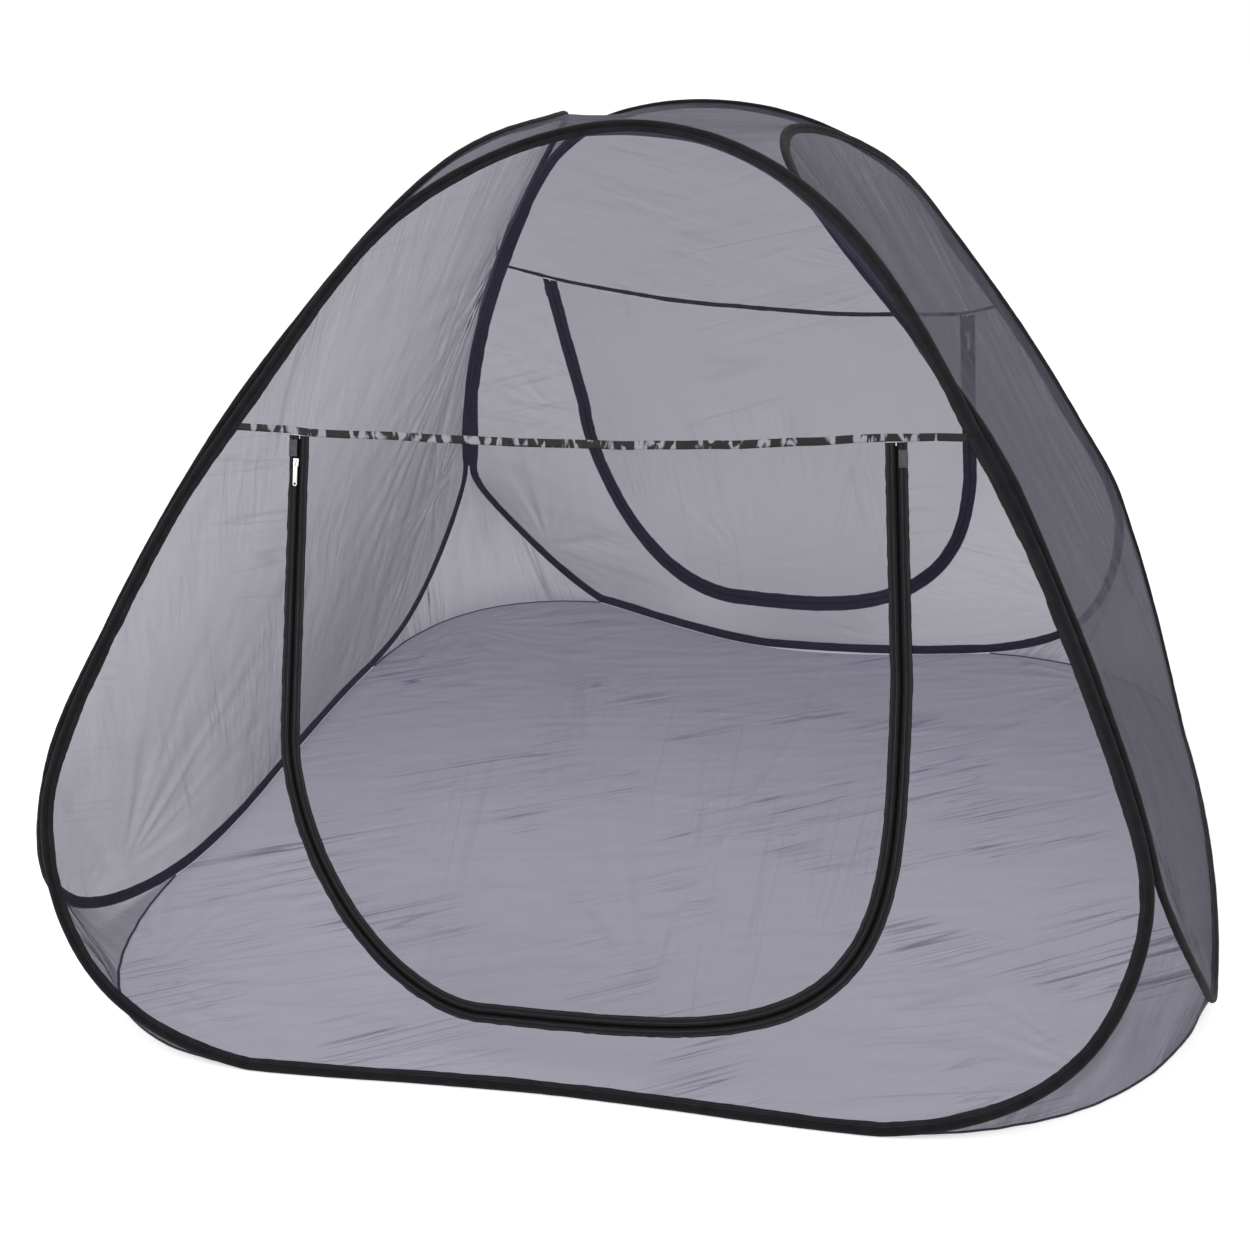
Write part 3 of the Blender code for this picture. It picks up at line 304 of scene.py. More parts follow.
class Wall:
    """An end wall: its hinge tape, door and zip. Places on it are (a, s): along the hinge line and down the wall."""

    def __init__(self, hoop):
        self.hoop = hoop
        self.name = hoop.name
        half = len(hoop.curve) // 2
        quarter = half // 2
        left_share, right_share = TAPE_HEIGHT_SHARES[hoop.name]
        self.corners = {}
        self.marks = {}
        for side, share, low, high in (("right", right_share, 0, quarter + quarter // 2),
                                       ("left", left_share, half + quarter // 2, len(hoop.curve))):
            for word, shift in (("low", -TAPE_WIDTH / 2), ("high", TAPE_WIDTH / 2)):
                i = hoop.reach_height(low, high, HEIGHT * share + shift)
                self.corners[f"{side}_{word}"] = hoop.point(i, HEM_WIDTH + NET_CLEAR + GAP)
                self.marks[f"{side}_{word}"] = i
        left = self.corners["left_low"]
        right = self.corners["right_low"]
        self.along = (right - left).normalized()
        middle = Vector((SHIFT_X, SHIFT_Y, 0))
        share = (middle - left).dot(hoop.across) / (right - left).dot(hoop.across)
        self.origin = left.lerp(right, share)
        self.ends = ((left - self.origin).dot(self.along), (right - self.origin).dot(self.along))
        lower = hoop.low_aim - self.origin
        lower -= hoop.across * lower.dot(hoop.across)
        self.down = (lower - self.along * lower.dot(self.along)).normalized()
        self.out = self.down.cross(self.along)
        if self.out.dot(hoop.out) < 0:
            self.out.negate()
        drop = self.origin.z / -self.down.z
        half_line = (right - left).length / 2
        foot_share, depth_share, bend_share = FOOT_SHARES[self.name]
        self.foot = (half_line * foot_share, drop * depth_share)
        self.bend = drop * bend_share
        self.legs = {}
        for side, (top_share, flare_share, leg_share, squareness) in zip((-1, 1), LEG_SHARES[self.name]):
            self.legs[side] = (half_line * top_share, drop * flare_share, drop * leg_share, squareness)
        spots, drops = np.array(SAG_SHARES[self.name]).T * half_line
        self.sag_places = np.linspace(spots[0], spots[-1], 400)
        rough = np.pad(np.interp(self.sag_places, spots, drops), 20, "edge")
        self.sag_drops = np.convolve(rough, np.ones(41) / 41, "valid")

    def sag(self, a):
        return float(np.interp(a, self.sag_places, self.sag_drops))

    def face(self, a, s):
        """A point on the middle of the wall, the wall's outward normal there, and its direction down."""
        s += self.sag(a) * max(1 - abs(s) / SAG_REACH, 0) ** 2
        start = self.legs[-1][2]
        depth = self.foot[1] - start
        below = max(s - start, 0) / depth
        point = self.origin + self.along * a + self.down * s - self.out * self.bend * below ** 2
        down = (self.down - self.out * 2 * self.bend * below / depth).normalized()
        normal = down.cross(self.along)
        if normal.dot(self.out) < 0:
            normal.negate()
        return point, normal, down

    def leg_station(self, side, s):
        """A place on the left (-1) or right (1) leg of the zip, with the way out of the door there."""
        top, flare, length, _ = self.legs[side]
        return side * (top + flare * s / length), s, side, 0.0

    def curve_stations(self, side):
        """Places on the curve from a leg's end to the foot: a superellipse, with the way square to it."""
        _, _, length, squareness = self.legs[side]
        width = self.leg_station(side, length)[0] - self.foot[0]
        depth = self.foot[1] - length
        places = []
        for k in range(1, CURVE_STEPS + 1):
            t = math.pi / 2 * k / CURVE_STEPS
            cosine = max(math.cos(t), 0) ** (2 / squareness)
            sine = math.sin(t) ** (2 / squareness)
            way = Vector((cosine ** (squareness - 1) / width, sine ** (squareness - 1) / depth)).normalized()
            places.append((self.foot[0] + width * cosine, length + depth * sine, way.x, way.y))
        return places

    def zip_stations(self, top, pitch):
        """Places along the zip at an even pitch, from the left leg's top round to the right's, with the way out."""
        rough = []
        for side in (-1, 1):
            run = [top + (self.legs[side][2] - top) * k / LEG_STEPS for k in range(LEG_STEPS + 1)]
            rough.append([self.leg_station(side, s) for s in run] + self.curve_stations(side))
        places = np.array(rough[0] + rough[1][-2::-1])
        lengths = lengths_along(places[:, :2])
        places = read_at(np.linspace(0, lengths[-1], int(lengths[-1] / pitch) + 1), lengths, places)
        places[:, 2:] /= np.linalg.norm(places[:, 2:], axis=1)[:, None]
        return [tuple(float(v) for v in row) for row in places]

    def zip_point(self, station, n, w=0.0):
        """n is measured out of the door across the zip, w out of the wall."""
        a, s, side_a, side_s = station
        point, normal, _ = self.face(a + side_a * n, s + side_s * n)
        return point + normal * w


hoops = {name: Hoop(name) for name in HOOP_SHARES}
part_seams(hoops)
for hoop in hoops.values():
    hoop.frames = [hoop.frame(i) for i in range(len(hoop.curve))]
walls = {name: Wall(hoops[name]) for name in ("front", "back")}


# Materials

HEM_FLAT = HEM_EDGE - SLEEVE_RADIUS
STITCH_HALF_WIDTH = 0.0005
STITCH_GAP_WAVE = -0.35
NET_TONE_SHARES = (0.86, 1.14)


def new_material(name, roughness=0.5, specular=0.5, sheen=0.0, metallic=0.0, alpha=1.0):
    made = bpy.data.materials.new(name)
    made.use_nodes = True
    shader = made.node_tree.nodes["Principled BSDF"]
    shader.inputs["Roughness"].default_value = roughness
    shader.inputs["Specular IOR Level"].default_value = specular
    shader.inputs["Sheen Weight"].default_value = sheen
    shader.inputs["Metallic"].default_value = metallic
    shader.inputs["Alpha"].default_value = alpha
    return made, made.node_tree, shader


def add_node(tree, kind, output, inputs=(), **settings):
    """A new node, its inputs set to values or linked to other nodes. Gives back one of its outputs."""
    node = tree.nodes.new(f"ShaderNode{kind}")
    for name, value in settings.items():
        setattr(node, name, value)
    for name, value in dict(inputs).items():
        if isinstance(value, bpy.types.NodeSocket):
            tree.links.new(value, node.inputs[name])
        else:
            node.inputs[name].default_value = value
    return node.outputs[output]


def maths(tree, operation, *values):
    return add_node(tree, "Math", 0, enumerate(values), operation=operation)


def add(tree, first, second):
    return maths(tree, "ADD", first, second)


def less(tree, first, second):
    return maths(tree, "SUBTRACT", first, second)


def times(tree, first, second):
    return maths(tree, "MULTIPLY", first, second)


def own_map(tree):
    return add_node(tree, "UVMap", "UV", uv_map="UVMap")


def object_place(tree):
    return add_node(tree, "TexCoord", "Object")


def along_and_across(tree):
    """The piece's own map, split into metres along it and metres across it."""
    along = add_node(tree, "SeparateXYZ", "X", {"Vector": own_map(tree)})
    return along, along.node.outputs["Y"]


def noise(tree, vector, scale, detail=3.0, roughness=0.5, warp=0.0):
    return add_node(tree, "TexNoise", "Fac", {
        "Vector": vector, "Scale": scale, "Detail": detail, "Roughness": roughness, "Distortion": warp})


def long_noise(tree, along_scale, across_scale, detail=2.0, roughness=0.5, warp=0.0):
    """Noise on the piece's own map, drawn out along the piece."""
    vector = add_node(tree, "Mapping", "Vector", {"Vector": own_map(tree), "Scale": (along_scale, across_scale, 1)})
    return noise(tree, vector, 1.0, detail, roughness, warp)


def ramp(tree, fac, stops):
    colour = add_node(tree, "ValToRGB", "Color", {"Fac": fac})
    elements = colour.node.color_ramp.elements
    while len(elements) > 1:
        elements.remove(elements[-1])
    for k, (position, value) in enumerate(stops):
        element = elements[0] if k == 0 else elements.new(position)
        element.position = position
        element.color = (*value, 1) if isinstance(value, tuple) else (value, value, value, 1)
    return colour


def mixed(tree, fac, first, second):
    first, second = [(*value, 1) if isinstance(value, tuple) else value for value in (first, second)]
    return add_node(tree, "Mix", 2, {"Factor": fac, 6: first, 7: second}, data_type="RGBA")


def paint(tree, colour, shader):
    tree.links.new(colour, shader.inputs["Base Color"])


def bump(tree, height, strength, distance, shader):
    normal = add_node(tree, "Bump", "Normal", {"Strength": strength, "Distance": distance, "Height": height})
    tree.links.new(normal, shader.inputs["Normal"])
    return normal


def thread_wave(tree, length, pitch):
    """Runs from -1 to 1 and back once in every pitch."""
    return maths(tree, "SINE", times(tree, length, 2 * math.pi / pitch))


def between(tree, value, low, high):
    """0 up to the low value, 1 from the high one, and soft between them."""
    return add_node(tree, "MapRange", "Result", {"Value": value, "From Min": low, "From Max": high},
                    interpolation_type="SMOOTHSTEP")


def stripe(tree, across, middle, half_width):
    """1 on a stripe that runs along the piece, falling softly to 0 beside it."""
    off = maths(tree, "ABSOLUTE", less(tree, across, middle))
    return between(tree, off, half_width * 1.4, half_width * 0.6)


def crease_lines(tree, along_scale, across_scale, thinness):
    """Thin wandering lines along the piece, where the net lies double in a crease."""
    off = maths(tree, "ABSOLUTE", less(tree, long_noise(tree, along_scale, across_scale, warp=0.7), 0.5))
    return maths(tree, "MAXIMUM", less(tree, 1.0, times(tree, off, thinness)), 0.0)


def cloth_weave(tree, along, across, pitch):
    return times(tree, thread_wave(tree, along, pitch), thread_wave(tree, across, pitch))


def stitches(tree, along, across, middle, pitch):
    """A row of machine stitches: short dashes on a narrow line."""
    line = stripe(tree, across, middle, STITCH_HALF_WIDTH)
    return times(tree, line, maths(tree, "GREATER_THAN", thread_wave(tree, along, pitch), STITCH_GAP_WAVE))


def net_material(name, see_through, colour, fold_height, creased, edge_on=0.82, fade=None):
    """Fine knitted net: see-through face on, closing up as it turns edge on, with creases here and there.

    A fade of (axis, from, to, share) makes it a little denser or thinner across the tent.
    """
    made, tree, shader = new_material(name, 0.7, 0.12, 0.05)
    if fade:
        axis, start, end, share = fade
        way = between(tree, add_node(tree, "SeparateXYZ", axis, {"Vector": object_place(tree)}), start, end)
        see_through = times(tree, see_through, add(tree, 1.0, times(tree, way, share - 1)))
    low, high = [tuple(c * share for c in colour) for share in NET_TONE_SHARES]
    paint(tree, ramp(tree, noise(tree, own_map(tree), 3.0), [(0.35, low), (0.65, high)]), shader)
    somewhere = between(tree, noise(tree, own_map(tree), 2.6, 2.0), 0.42, 0.66)
    folds = add(tree, long_noise(tree, 3.0, 17, warp=0.6), times(tree, long_noise(tree, 12, 50, warp=0.8), 0.30))
    turned = bump(tree, times(tree, folds, add(tree, 0.25, somewhere)), 1.0, fold_height, shader)
    facing = add_node(tree, "LayerWeight", "Facing", {"Blend": 0.5, "Normal": turned})
    square_on = less(tree, 1.0, times(tree, facing, edge_on))
    through = maths(tree, "POWER", see_through, maths(tree, "DIVIDE", 1.0, square_on))
    lines = add(tree, crease_lines(tree, 0.40, 12, 95), times(tree, crease_lines(tree, 0.9, 26, 60), 0.45))
    doubled = times(tree, times(tree, lines, somewhere), creased)
    closed = less(tree, 1.0, times(tree, through, less(tree, 1.0, doubled)))
    mesh = add(tree, *[thread_wave(tree, way, NET_PITCH) for way in along_and_across(tree)])
    weave = add(tree, 1.0, times(tree, mesh, 0.12))
    tree.links.new(times(tree, closed, weave), shader.inputs["Alpha"])
    return made


def binding_material():
    """Black woven binding: round over the wire, flat, greyer and stitched where it is sewn on as a hem."""
    made, tree, shader = new_material("black_binding", 0.85, 0.18, 0.06)
    along, across = along_and_across(tree)
    worn = noise(tree, object_place(tree), 45.0, 4.0, 0.6)
    black = ramp(tree, worn, [(0.3, (0.0035, 0.0028, 0.0038)), (0.7, (0.012, 0.010, 0.013))])
    grey = ramp(tree, worn, [(0.3, (0.007, 0.006, 0.009)), (0.7, (0.022, 0.019, 0.026))])
    hem = add_node(tree, "MapRange", "Result", {"Value": across, "From Min": HEM_FLAT * 1.15,
                                                "From Max": HEM_FLAT * 0.85})
    sewn = add(tree, *[stitches(tree, along, across, middle, 0.0042) for middle in (0.0028, HEM_FLAT - 0.0008)])
    paint(tree, mixed(tree, sewn, mixed(tree, hem, black, grey), (0.040, 0.037, 0.045)), shader)
    gathers = long_noise(tree, 110, 22, 3.0)
    bump(tree, add(tree, gathers, times(tree, cloth_weave(tree, along, across, 0.0009), 0.10)), 0.8, 0.0022, shader)
    return made


def zip_tape_material():
    """Black zip tape: ribbed weave, paler lines along it, and stitches near its outer edge."""
    made, tree, shader = new_material("black_zip_tape", 0.72, 0.2, 0.03)
    along, across = along_and_across(tree)
    worn = noise(tree, object_place(tree), 60.0, 4.0, 0.6)
    black = ramp(tree, worn, [(0.3, (0.0022, 0.0020, 0.0026)), (0.7, (0.0070, 0.0065, 0.0080))])
    rib = maths(tree, "MAXIMUM", stripe(tree, across, ZIP_EDGE * 0.42, 0.0009),
                stripe(tree, across, ZIP_EDGE * 0.86, 0.0011))
    rib = times(tree, rib, times(tree, long_noise(tree, 30, 200), 1.3))
    sewn = stitches(tree, along, across, ZIP_EDGE * 0.72, 0.0036)
    ribbed = mixed(tree, rib, black, (0.040, 0.038, 0.046))
    paint(tree, mixed(tree, sewn, ribbed, (0.028, 0.026, 0.032)), shader)
    height = add(tree, times(tree, worn, 0.6), times(tree, thread_wave(tree, across, 0.0012), 0.25))
    bump(tree, height, 0.6, 0.0012, shader)
    return made


def coil_material():
    made, tree, shader = new_material("black_coil", 0.75, 0.04)
    worn = noise(tree, object_place(tree), 300.0, 2.0)
    paint(tree, ramp(tree, worn, [(0.3, 0.002), (0.7, 0.006)]), shader)
    bump(tree, worn, 0.3, 0.0003, shader)
    return made


def hinge_tape_material(name, crease_highlight, shine_from, shine_to):
    """Thin glossy black tape, with irregular pale patches painted where it is creased: painted highlights."""
    made, tree, shader = new_material(name, 0.42, 0.3)
    creased = long_noise(tree, 52, 20, 2.5, 0.55, 0.6)
    worn = noise(tree, object_place(tree), 70.0)
    black = ramp(tree, worn, [(0.3, (0.002, 0.002, 0.0026)), (0.7, (0.006, 0.006, 0.008))])
    # Painted highlights: where the creases rise, the black turns to the highlight colour.
    paint(tree, mixed(tree, between(tree, creased, shine_from, shine_to), black, crease_highlight), shader)
    weave = cloth_weave(tree, *along_and_across(tree), 0.001)
    bump(tree, add(tree, creased, times(tree, weave, 0.05)), 0.7, 0.002, shader)
    return made


def end_patch_material():
    """Grey reinforcing strip, a little see-through, stitched across."""
    made, tree, shader = new_material("grey_end_patch", 0.45, alpha=0.80)
    along, across = along_and_across(tree)
    cloudy = noise(tree, object_place(tree), 90.0)
    grey = ramp(tree, cloudy, [(0.3, (0.035, 0.035, 0.042)), (0.7, (0.085, 0.083, 0.100))])
    sewn = stitches(tree, across, along, PATCH_LENGTH * 0.15, 0.003)
    paint(tree, mixed(tree, sewn, grey, (0.04, 0.04, 0.05)), shader)
    bump(tree, cloudy, 0.4, 0.001, shader)
    return made


def seam_material():
    """Rolled and stitched edge of net."""
    made, tree, shader = new_material("rolled_seam", 0.8, alpha=0.75)
    worn = noise(tree, object_place(tree), 60.0)
    grey = ramp(tree, worn, [(0.3, (0.012, 0.012, 0.018)), (0.7, (0.045, 0.043, 0.062))])
    sewn = stitches(tree, *along_and_across(tree), 0.002, 0.004)
    paint(tree, mixed(tree, sewn, grey, (0.006, 0.006, 0.008)), shader)
    bump(tree, worn, 0.5, 0.001, shader)
    return made


def metal_material(name, low, high, roughness):
    made, tree, shader = new_material(name, metallic=1.0)
    worn = noise(tree, object_place(tree), 260.0, 4.0, 0.6)
    paint(tree, ramp(tree, worn, [(0.3, low), (0.7, high)]), shader)
    tree.links.new(ramp(tree, worn, [(0.2, roughness * 1.35), (0.8, roughness * 0.75)]), shader.inputs["Roughness"])
    bump(tree, worn, 0.25, 0.0002, shader)
    return made


FINISH = {
    "net": net_material("grey_net", 0.600, (0.034, 0.031, 0.058), 0.0030, 0.14),
    "door_net": net_material("grey_door_net", 0.560, (0.034, 0.031, 0.058), 0.0022, 0.10),
    # The left wall's copy of the net has a paler thread colour and is more see-through: painted light on that side.
    "left_net": net_material("grey_left_net", 0.650, (0.042, 0.038, 0.075), 0.0045, 0.18,
                             fade=("Z", 0.15, 1.10, 1.16)),
    # The right wall's copy of the same net is less see-through: painted shade on that side.
    "right_net": net_material("grey_right_net", 0.560, (0.034, 0.031, 0.056), 0.0045, 0.30, 0.95),
    # The floor's net closes up a little towards the back: painted shade under the tent.
    "floor_net": net_material("grey_floor_net", 0.800, (0.052, 0.048, 0.145), 0.0035, 0.50,
                              fade=("Y", -0.60, 0.80, 0.86)),
    "corner_net": net_material("grey_corner_net", 0.605, (0.034, 0.031, 0.058), 0.0100, 0.70),
    "binding": binding_material(),
    "zip_tape": zip_tape_material(),
    "zip_coil": coil_material(),
    # The two hinge tapes are one material: the front one with bright painted highlights on its creases, the back one
    # with faint ones, as its shaded copy.
    "front_tape": hinge_tape_material("rubbed_hinge_tape", (0.34, 0.34, 0.38), 0.52, 0.60),
    "back_tape": hinge_tape_material("black_hinge_tape", (0.022, 0.022, 0.026), 0.52, 0.66),
    "end_patch": end_patch_material(),
    "seam": seam_material(),
    "slider": metal_material("bright_zip_metal", (0.80, 0.79, 0.76), (0.95, 0.94, 0.90), 0.30),
    "wire": metal_material("dull_spring_wire", (0.42, 0.42, 0.44), (0.56, 0.56, 0.58), 0.42),
}


# Soft random heights

NOISE_GRID = 97


def soft_noise(u, v, seed):
    """Smooth random values from -1 to 1, with about one rise or fall per unit of u and v."""
    grid = np.random.default_rng(seed).uniform(-1, 1, (NOISE_GRID, NOISE_GRID))
    low_u = np.floor(u).astype(int)
    low_v = np.floor(v).astype(int)
    part_u = eased(u - low_u)
    part_v = eased(v - low_v)
    value = 0
    for i, share_u in ((0, 1 - part_u), (1, part_u)):
        for j, share_v in ((0, 1 - part_v), (1, part_v)):
            value = value + grid[(low_u + i) % NOISE_GRID, (low_v + j) % NOISE_GRID] * share_u * share_v
    return value


def fold_noise(x, y, turn, length, width, seed):
    """Long folds in one direction, wandering a little."""
    along = (x * math.cos(turn) + y * math.sin(turn)) / length
    across = (y * math.cos(turn) - x * math.sin(turn)) / width
    across = across + 0.9 * soft_noise(along * 0.8, across * 0.3, seed + 1)
    return soft_noise(along, across, seed) + 0.5 * soft_noise(along * 1.7 + 31, across * 2.1 + 17, seed + 2)


def fan_noise(x, y, centre, spread, reach, seed):
    """Folds that fan out from a point and die away: spread is the angle between them."""
    way_x = x - centre[0]
    way_y = y - centre[1]
    far = np.hypot(way_x, way_y)
    angle = np.arctan2(way_y, way_x) / spread
    return soft_noise(angle + 50, far / (reach * 1.5), seed) * np.exp(-far / reach) * np.clip(far / (reach * 0.3), 0, 1)


def along_noise(count, length, reach, seed):
    """A soft random value from -1 to 1 at even places round a closed line, changing over about one reach."""
    steps = max(4, int(length / reach))
    knots = np.random.default_rng(seed).uniform(-1, 1, steps)
    spots = np.arange(count) * steps / count
    low = np.floor(spots).astype(int)
    part = eased(spots - low)
    return knots[low % steps] * (1 - part) + knots[(low + 1) % steps] * part


# Making pieces


def add_mesh(name, vertices, faces, finish, body, stands_for=(), corner_uvs=None):
    mesh = bpy.data.meshes.new(name)
    mesh.from_pydata([tuple(v) for v in vertices], [], faces)
    if corner_uvs is not None:
        mesh.uv_layers.new(name="UVMap").data.foreach_set("uv", np.asarray(corner_uvs, float).ravel())
    mesh.polygons.foreach_set("use_smooth", [True] * len(mesh.polygons))
    made = bpy.data.objects.new(name, mesh)
    bpy.context.scene.collection.objects.link(made)
    made.data.materials.append(FINISH[finish])
    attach(made, body)
    if stands_for:
        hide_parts(*stands_for)
    return made


def face_out(made):
    shell = bmesh.new()
    shell.from_mesh(made.data)
    bmesh.ops.recalc_face_normals(shell, faces=shell.faces)
    shell.to_mesh(made.data)
    shell.free()


def tube(name, sections, across, closed, finish, body, stands_for=()):
    """A skin over a row of cross-sections. Its map runs in metres along it, and by the across list round it."""
    sides = len(sections[0])
    count = len(sections)
    middles = np.array([np.mean([tuple(p) for p in section], axis=0) for section in sections])
    steps = np.linalg.norm(np.roll(middles, -1, axis=0) - middles, axis=1)
    lengths = np.concatenate([[0], np.cumsum(steps)])
    vertices = [p for section in sections for p in section]
    faces = []
    corner_uvs = []
    for i in range(count if closed else count - 1):
        j = (i + 1) % count
        for k in range(sides):
            m = (k + 1) % sides
            faces.append((i * sides + k, i * sides + m, j * sides + m, j * sides + k))
            corner_uvs += [(lengths[i], across[k]), (lengths[i], across[m]),
                           (lengths[i + 1], across[m]), (lengths[i + 1], across[k])]
    if not closed:
        for i in (0, count - 1):
            faces.append(tuple(range(i * sides, (i + 1) * sides)))
            corner_uvs += [(lengths[i], value) for value in across]
    made = add_mesh(name, vertices, faces, finish, body, stands_for, corner_uvs)
    face_out(made)
    return made


SLEEVE_SIDES = 14
HEM_EDGE_HALF = HEM_HALF * 0.8
LOWEST = 0.0002
# How far along the binding its fullness, its gathers, its edge and its lean change
BINDING_REACHES = (0.035, 0.012, 0.050, 0.040)


def make_hoop(hoop, seed):
    """The binding, a soft tunnel round the wire sewn flat as a hem, and the wire in it."""
    total = len(hoop.curve)
    length = sum((hoop.curve[i] - hoop.curve[i - 1]).length for i in range(total))
    full, gathered, edge, lean = [along_noise(total, length, reach, seed + k)
                                  for k, reach in enumerate(BINDING_REACHES)]
    opening = math.atan2(HEM_HALF, SLEEVE_RADIUS)
    angles = [opening + (2 * math.pi - 2 * opening) * k / SLEEVE_SIDES for k in range(SLEEVE_SIDES + 1)]
    across = [0.0] + [HEM_FLAT + SLEEVE_RADIUS * abs(math.sin(a / 2)) * 2 for a in angles] + [0.0]
    sections = []
    for i in range(total):
        round_at = SLEEVE_RADIUS * (1.04 + 0.05 * full[i] + 0.03 * gathered[i])
        width = HEM_EDGE + 0.0010 * edge[i] + 0.0005 * gathered[i]
        tilt = 0.0007 * lean[i]
        section = [hoop.point(i, width, HEM_EDGE_HALF + tilt)]
        section += [hoop.point(i, round_at * math.cos(a), round_at * math.sin(a)) for a in angles]
        section.append(hoop.point(i, width, -HEM_EDGE_HALF + tilt))
        for point in section:
            point.z = max(point.z, LOWEST)
        sections.append(section)
    tube(f"{hoop.name}_binding", sections, across, True, "binding", "tent", [f"{hoop.name}_hoop_sleeve"])
    ring = turn_angles(8)
    wire = [[hoop.point(i, WIRE_RADIUS * math.cos(a) - TUNNEL_SHIFT, WIRE_RADIUS * math.sin(a)) for a in ring]
            for i in range(0, total, WIRE_STEP)]
    tube(f"{hoop.name}_spring_wire", wire, list(ring * WIRE_RADIUS), True, "wire", "tent",
         [f"{hoop.name}_hoop_wire"])


def resample(points, cell):
    """The line through the points at an even pitch of about one cell, without its last point."""
    line = np.array([tuple(p) for p in points])
    lengths = lengths_along(line)
    count = max(1, round(lengths[-1] / cell))
    return read_at(np.linspace(0, lengths[-1], count + 1)[:-1], lengths, line)


def inside(spots, ring):
    """Which of the spots lie inside the closed ring."""
    hit = np.zeros(len(spots), bool)
    for a, b in zip(ring, np.roll(ring, -1, axis=0)):
        if a[1] != b[1]:
            between = (a[1] > spots[:, 1]) != (b[1] > spots[:, 1])
            hit ^= between & (spots[:, 0] < a[0] + (b[0] - a[0]) * (spots[:, 1] - a[1]) / (b[1] - a[1]))
    return hit


def relaxed(places, faces, depths, fixed):
    """Depths of the free points, so that the net is stretched evenly between the fixed ones."""
    weights_from = []
    weights_to = []
    weights = []
    corners = places[faces]
    for k in range(3):
        a = corners[:, (k + 1) % 3] - corners[:, k]
        b = corners[:, (k + 2) % 3] - corners[:, k]
        cross = np.abs(a[:, 0] * b[:, 1] - a[:, 1] * b[:, 0])
        pull = np.maximum((a * b).sum(1) / np.maximum(cross, 1e-12), 0.02) / 2
        i = faces[:, (k + 1) % 3]
        j = faces[:, (k + 2) % 3]
        weights_from += [i, j]
        weights_to += [j, i]
        weights += [pull, pull]
    i = np.concatenate(weights_from)
    j = np.concatenate(weights_to)
    w = np.concatenate(weights)
    count = len(places)
    total = np.bincount(i, w, count)
    free = ~fixed

    def pulled(values):
        return np.where(free, total * values - np.bincount(i, w * values[j], count), 0)

    values = depths.copy()
    values[free] = values[fixed].mean()
    rest = -pulled(values)
    way = rest / np.maximum(total, 1e-12)
    strength = (rest * way).sum()
    for _ in range(600):
        answer = pulled(way)
        step = strength / max((way * answer).sum(), 1e-30)
        values += step * way
        rest -= step * answer
        eased = rest / np.maximum(total, 1e-12)
        after = (rest * eased).sum()
        if after < 1e-16:
            break
        way = eased + way * after / strength
        strength = after
    return values


def make_net(name, node, body, sections, across, up, cell, folds, turn, finish="net",
             level=None):
    """A panel of net stretched over closed edge lines, with folds(x, y, rim) added square to it."""
    ring3 = np.concatenate([resample(section, cell) for section in sections])
    axes = np.array([tuple(across), tuple(up), tuple(across.cross(up))])
    ring = ring3 @ axes[:2].T
    rows = np.arange(ring[:, 1].min(), ring[:, 1].max(), cell * math.sqrt(0.75))
    grid = []
    for r, y in enumerate(rows):
        x = np.arange(ring[:, 0].min() + cell / 2 * (r % 2), ring[:, 0].max(), cell)
        grid.append(np.stack([x, np.full(len(x), y)], 1))
    spots = np.concatenate(grid)
    spots = spots[inside(spots, ring)]
    tree = kdtree.KDTree(len(ring))
    for k, (x, y) in enumerate(ring):
        tree.insert((x, y, 0), k)
    tree.balance()
    spots = np.array([s for s in spots if tree.find((s[0], s[1], 0))[2] > cell * 0.6])
    count = len(ring)
    every = [Vector(s) for s in np.concatenate([ring, spots])]
    loop = [(k, (k + 1) % count) for k in range(count)]
    found, _, faces, sources, _, _ = geometry.delaunay_2d_cdt(every, loop, [], 1, 1e-7)
    places = np.array([tuple(p) for p in found])
    faces = np.array([tuple(f) for f in faces])
    depths = np.zeros(len(places))
    fixed = np.zeros(len(places), bool)
    edge_depths = ring3 @ axes[2]
    rim = np.zeros(len(places))
    for k, source in enumerate(sources):
        near = tree.find((places[k][0], places[k][1], 0))
        rim[k] = near[2]
        if not source or min(source) < count:
            fixed[k] = True
            depths[k] = edge_depths[near[1]]
            rim[k] = 0
    if level is None:
        depths = relaxed(places, faces, depths, fixed)
        depths += folds(places[:, 0], places[:, 1], rim)
    else:
        depths = level + np.maximum(folds(places[:, 0], places[:, 1], rim), 0)
    at = places @ axes[:2] + depths[:, None] * axes[2]
    turned = np.stack([places[:, 0] * math.cos(turn) + places[:, 1] * math.sin(turn),
                       places[:, 1] * math.cos(turn) - places[:, 0] * math.sin(turn)], 1)
    made = add_mesh(name, at.tolist(), faces.tolist(), finish, body, [node], turned[faces.ravel()])
    return made


def eased_in(rim, reach):
    return eased(np.clip(rim / reach, 0, 1))


def panel_folds(turn, seed, size=0.0035, fans=()):
    """Broad folds in one direction, fans of folds from some points, and short puckers along the edges."""
    def folds(x, y, rim):
        rise = size * fold_noise(x, y, turn, 0.55, 0.10, seed)
        rise += 0.5 * size * fold_noise(x, y, turn + 0.35, 0.30, 0.055, seed + 7)
        for centre, spread, reach, height in fans:
            rise += height * fan_noise(x, y, centre, spread, reach, seed + 11)
        rise = rise * eased_in(rim, 0.10)
        rise += 0.0016 * soft_noise(x / 0.034, y / 0.034, seed + 19) * eased_in(rim, 0.02) * np.exp(-rim / 0.045)
        return rise
    return folds


# Hoops

for seed, hoop in enumerate(hoops.values()):
    make_hoop(hoop, 100 + 10 * seed)


# Side walls

SEWN_IN = HEM_EDGE - 0.0035
NET_CELLS = {"side": 0.012, "roof": 0.010, "corner": 0.008, "floor": 0.011, "end": 0.010}


def hem_line(hoop, places):
    return [hoop.point(i, SEWN_IN) for i in places]


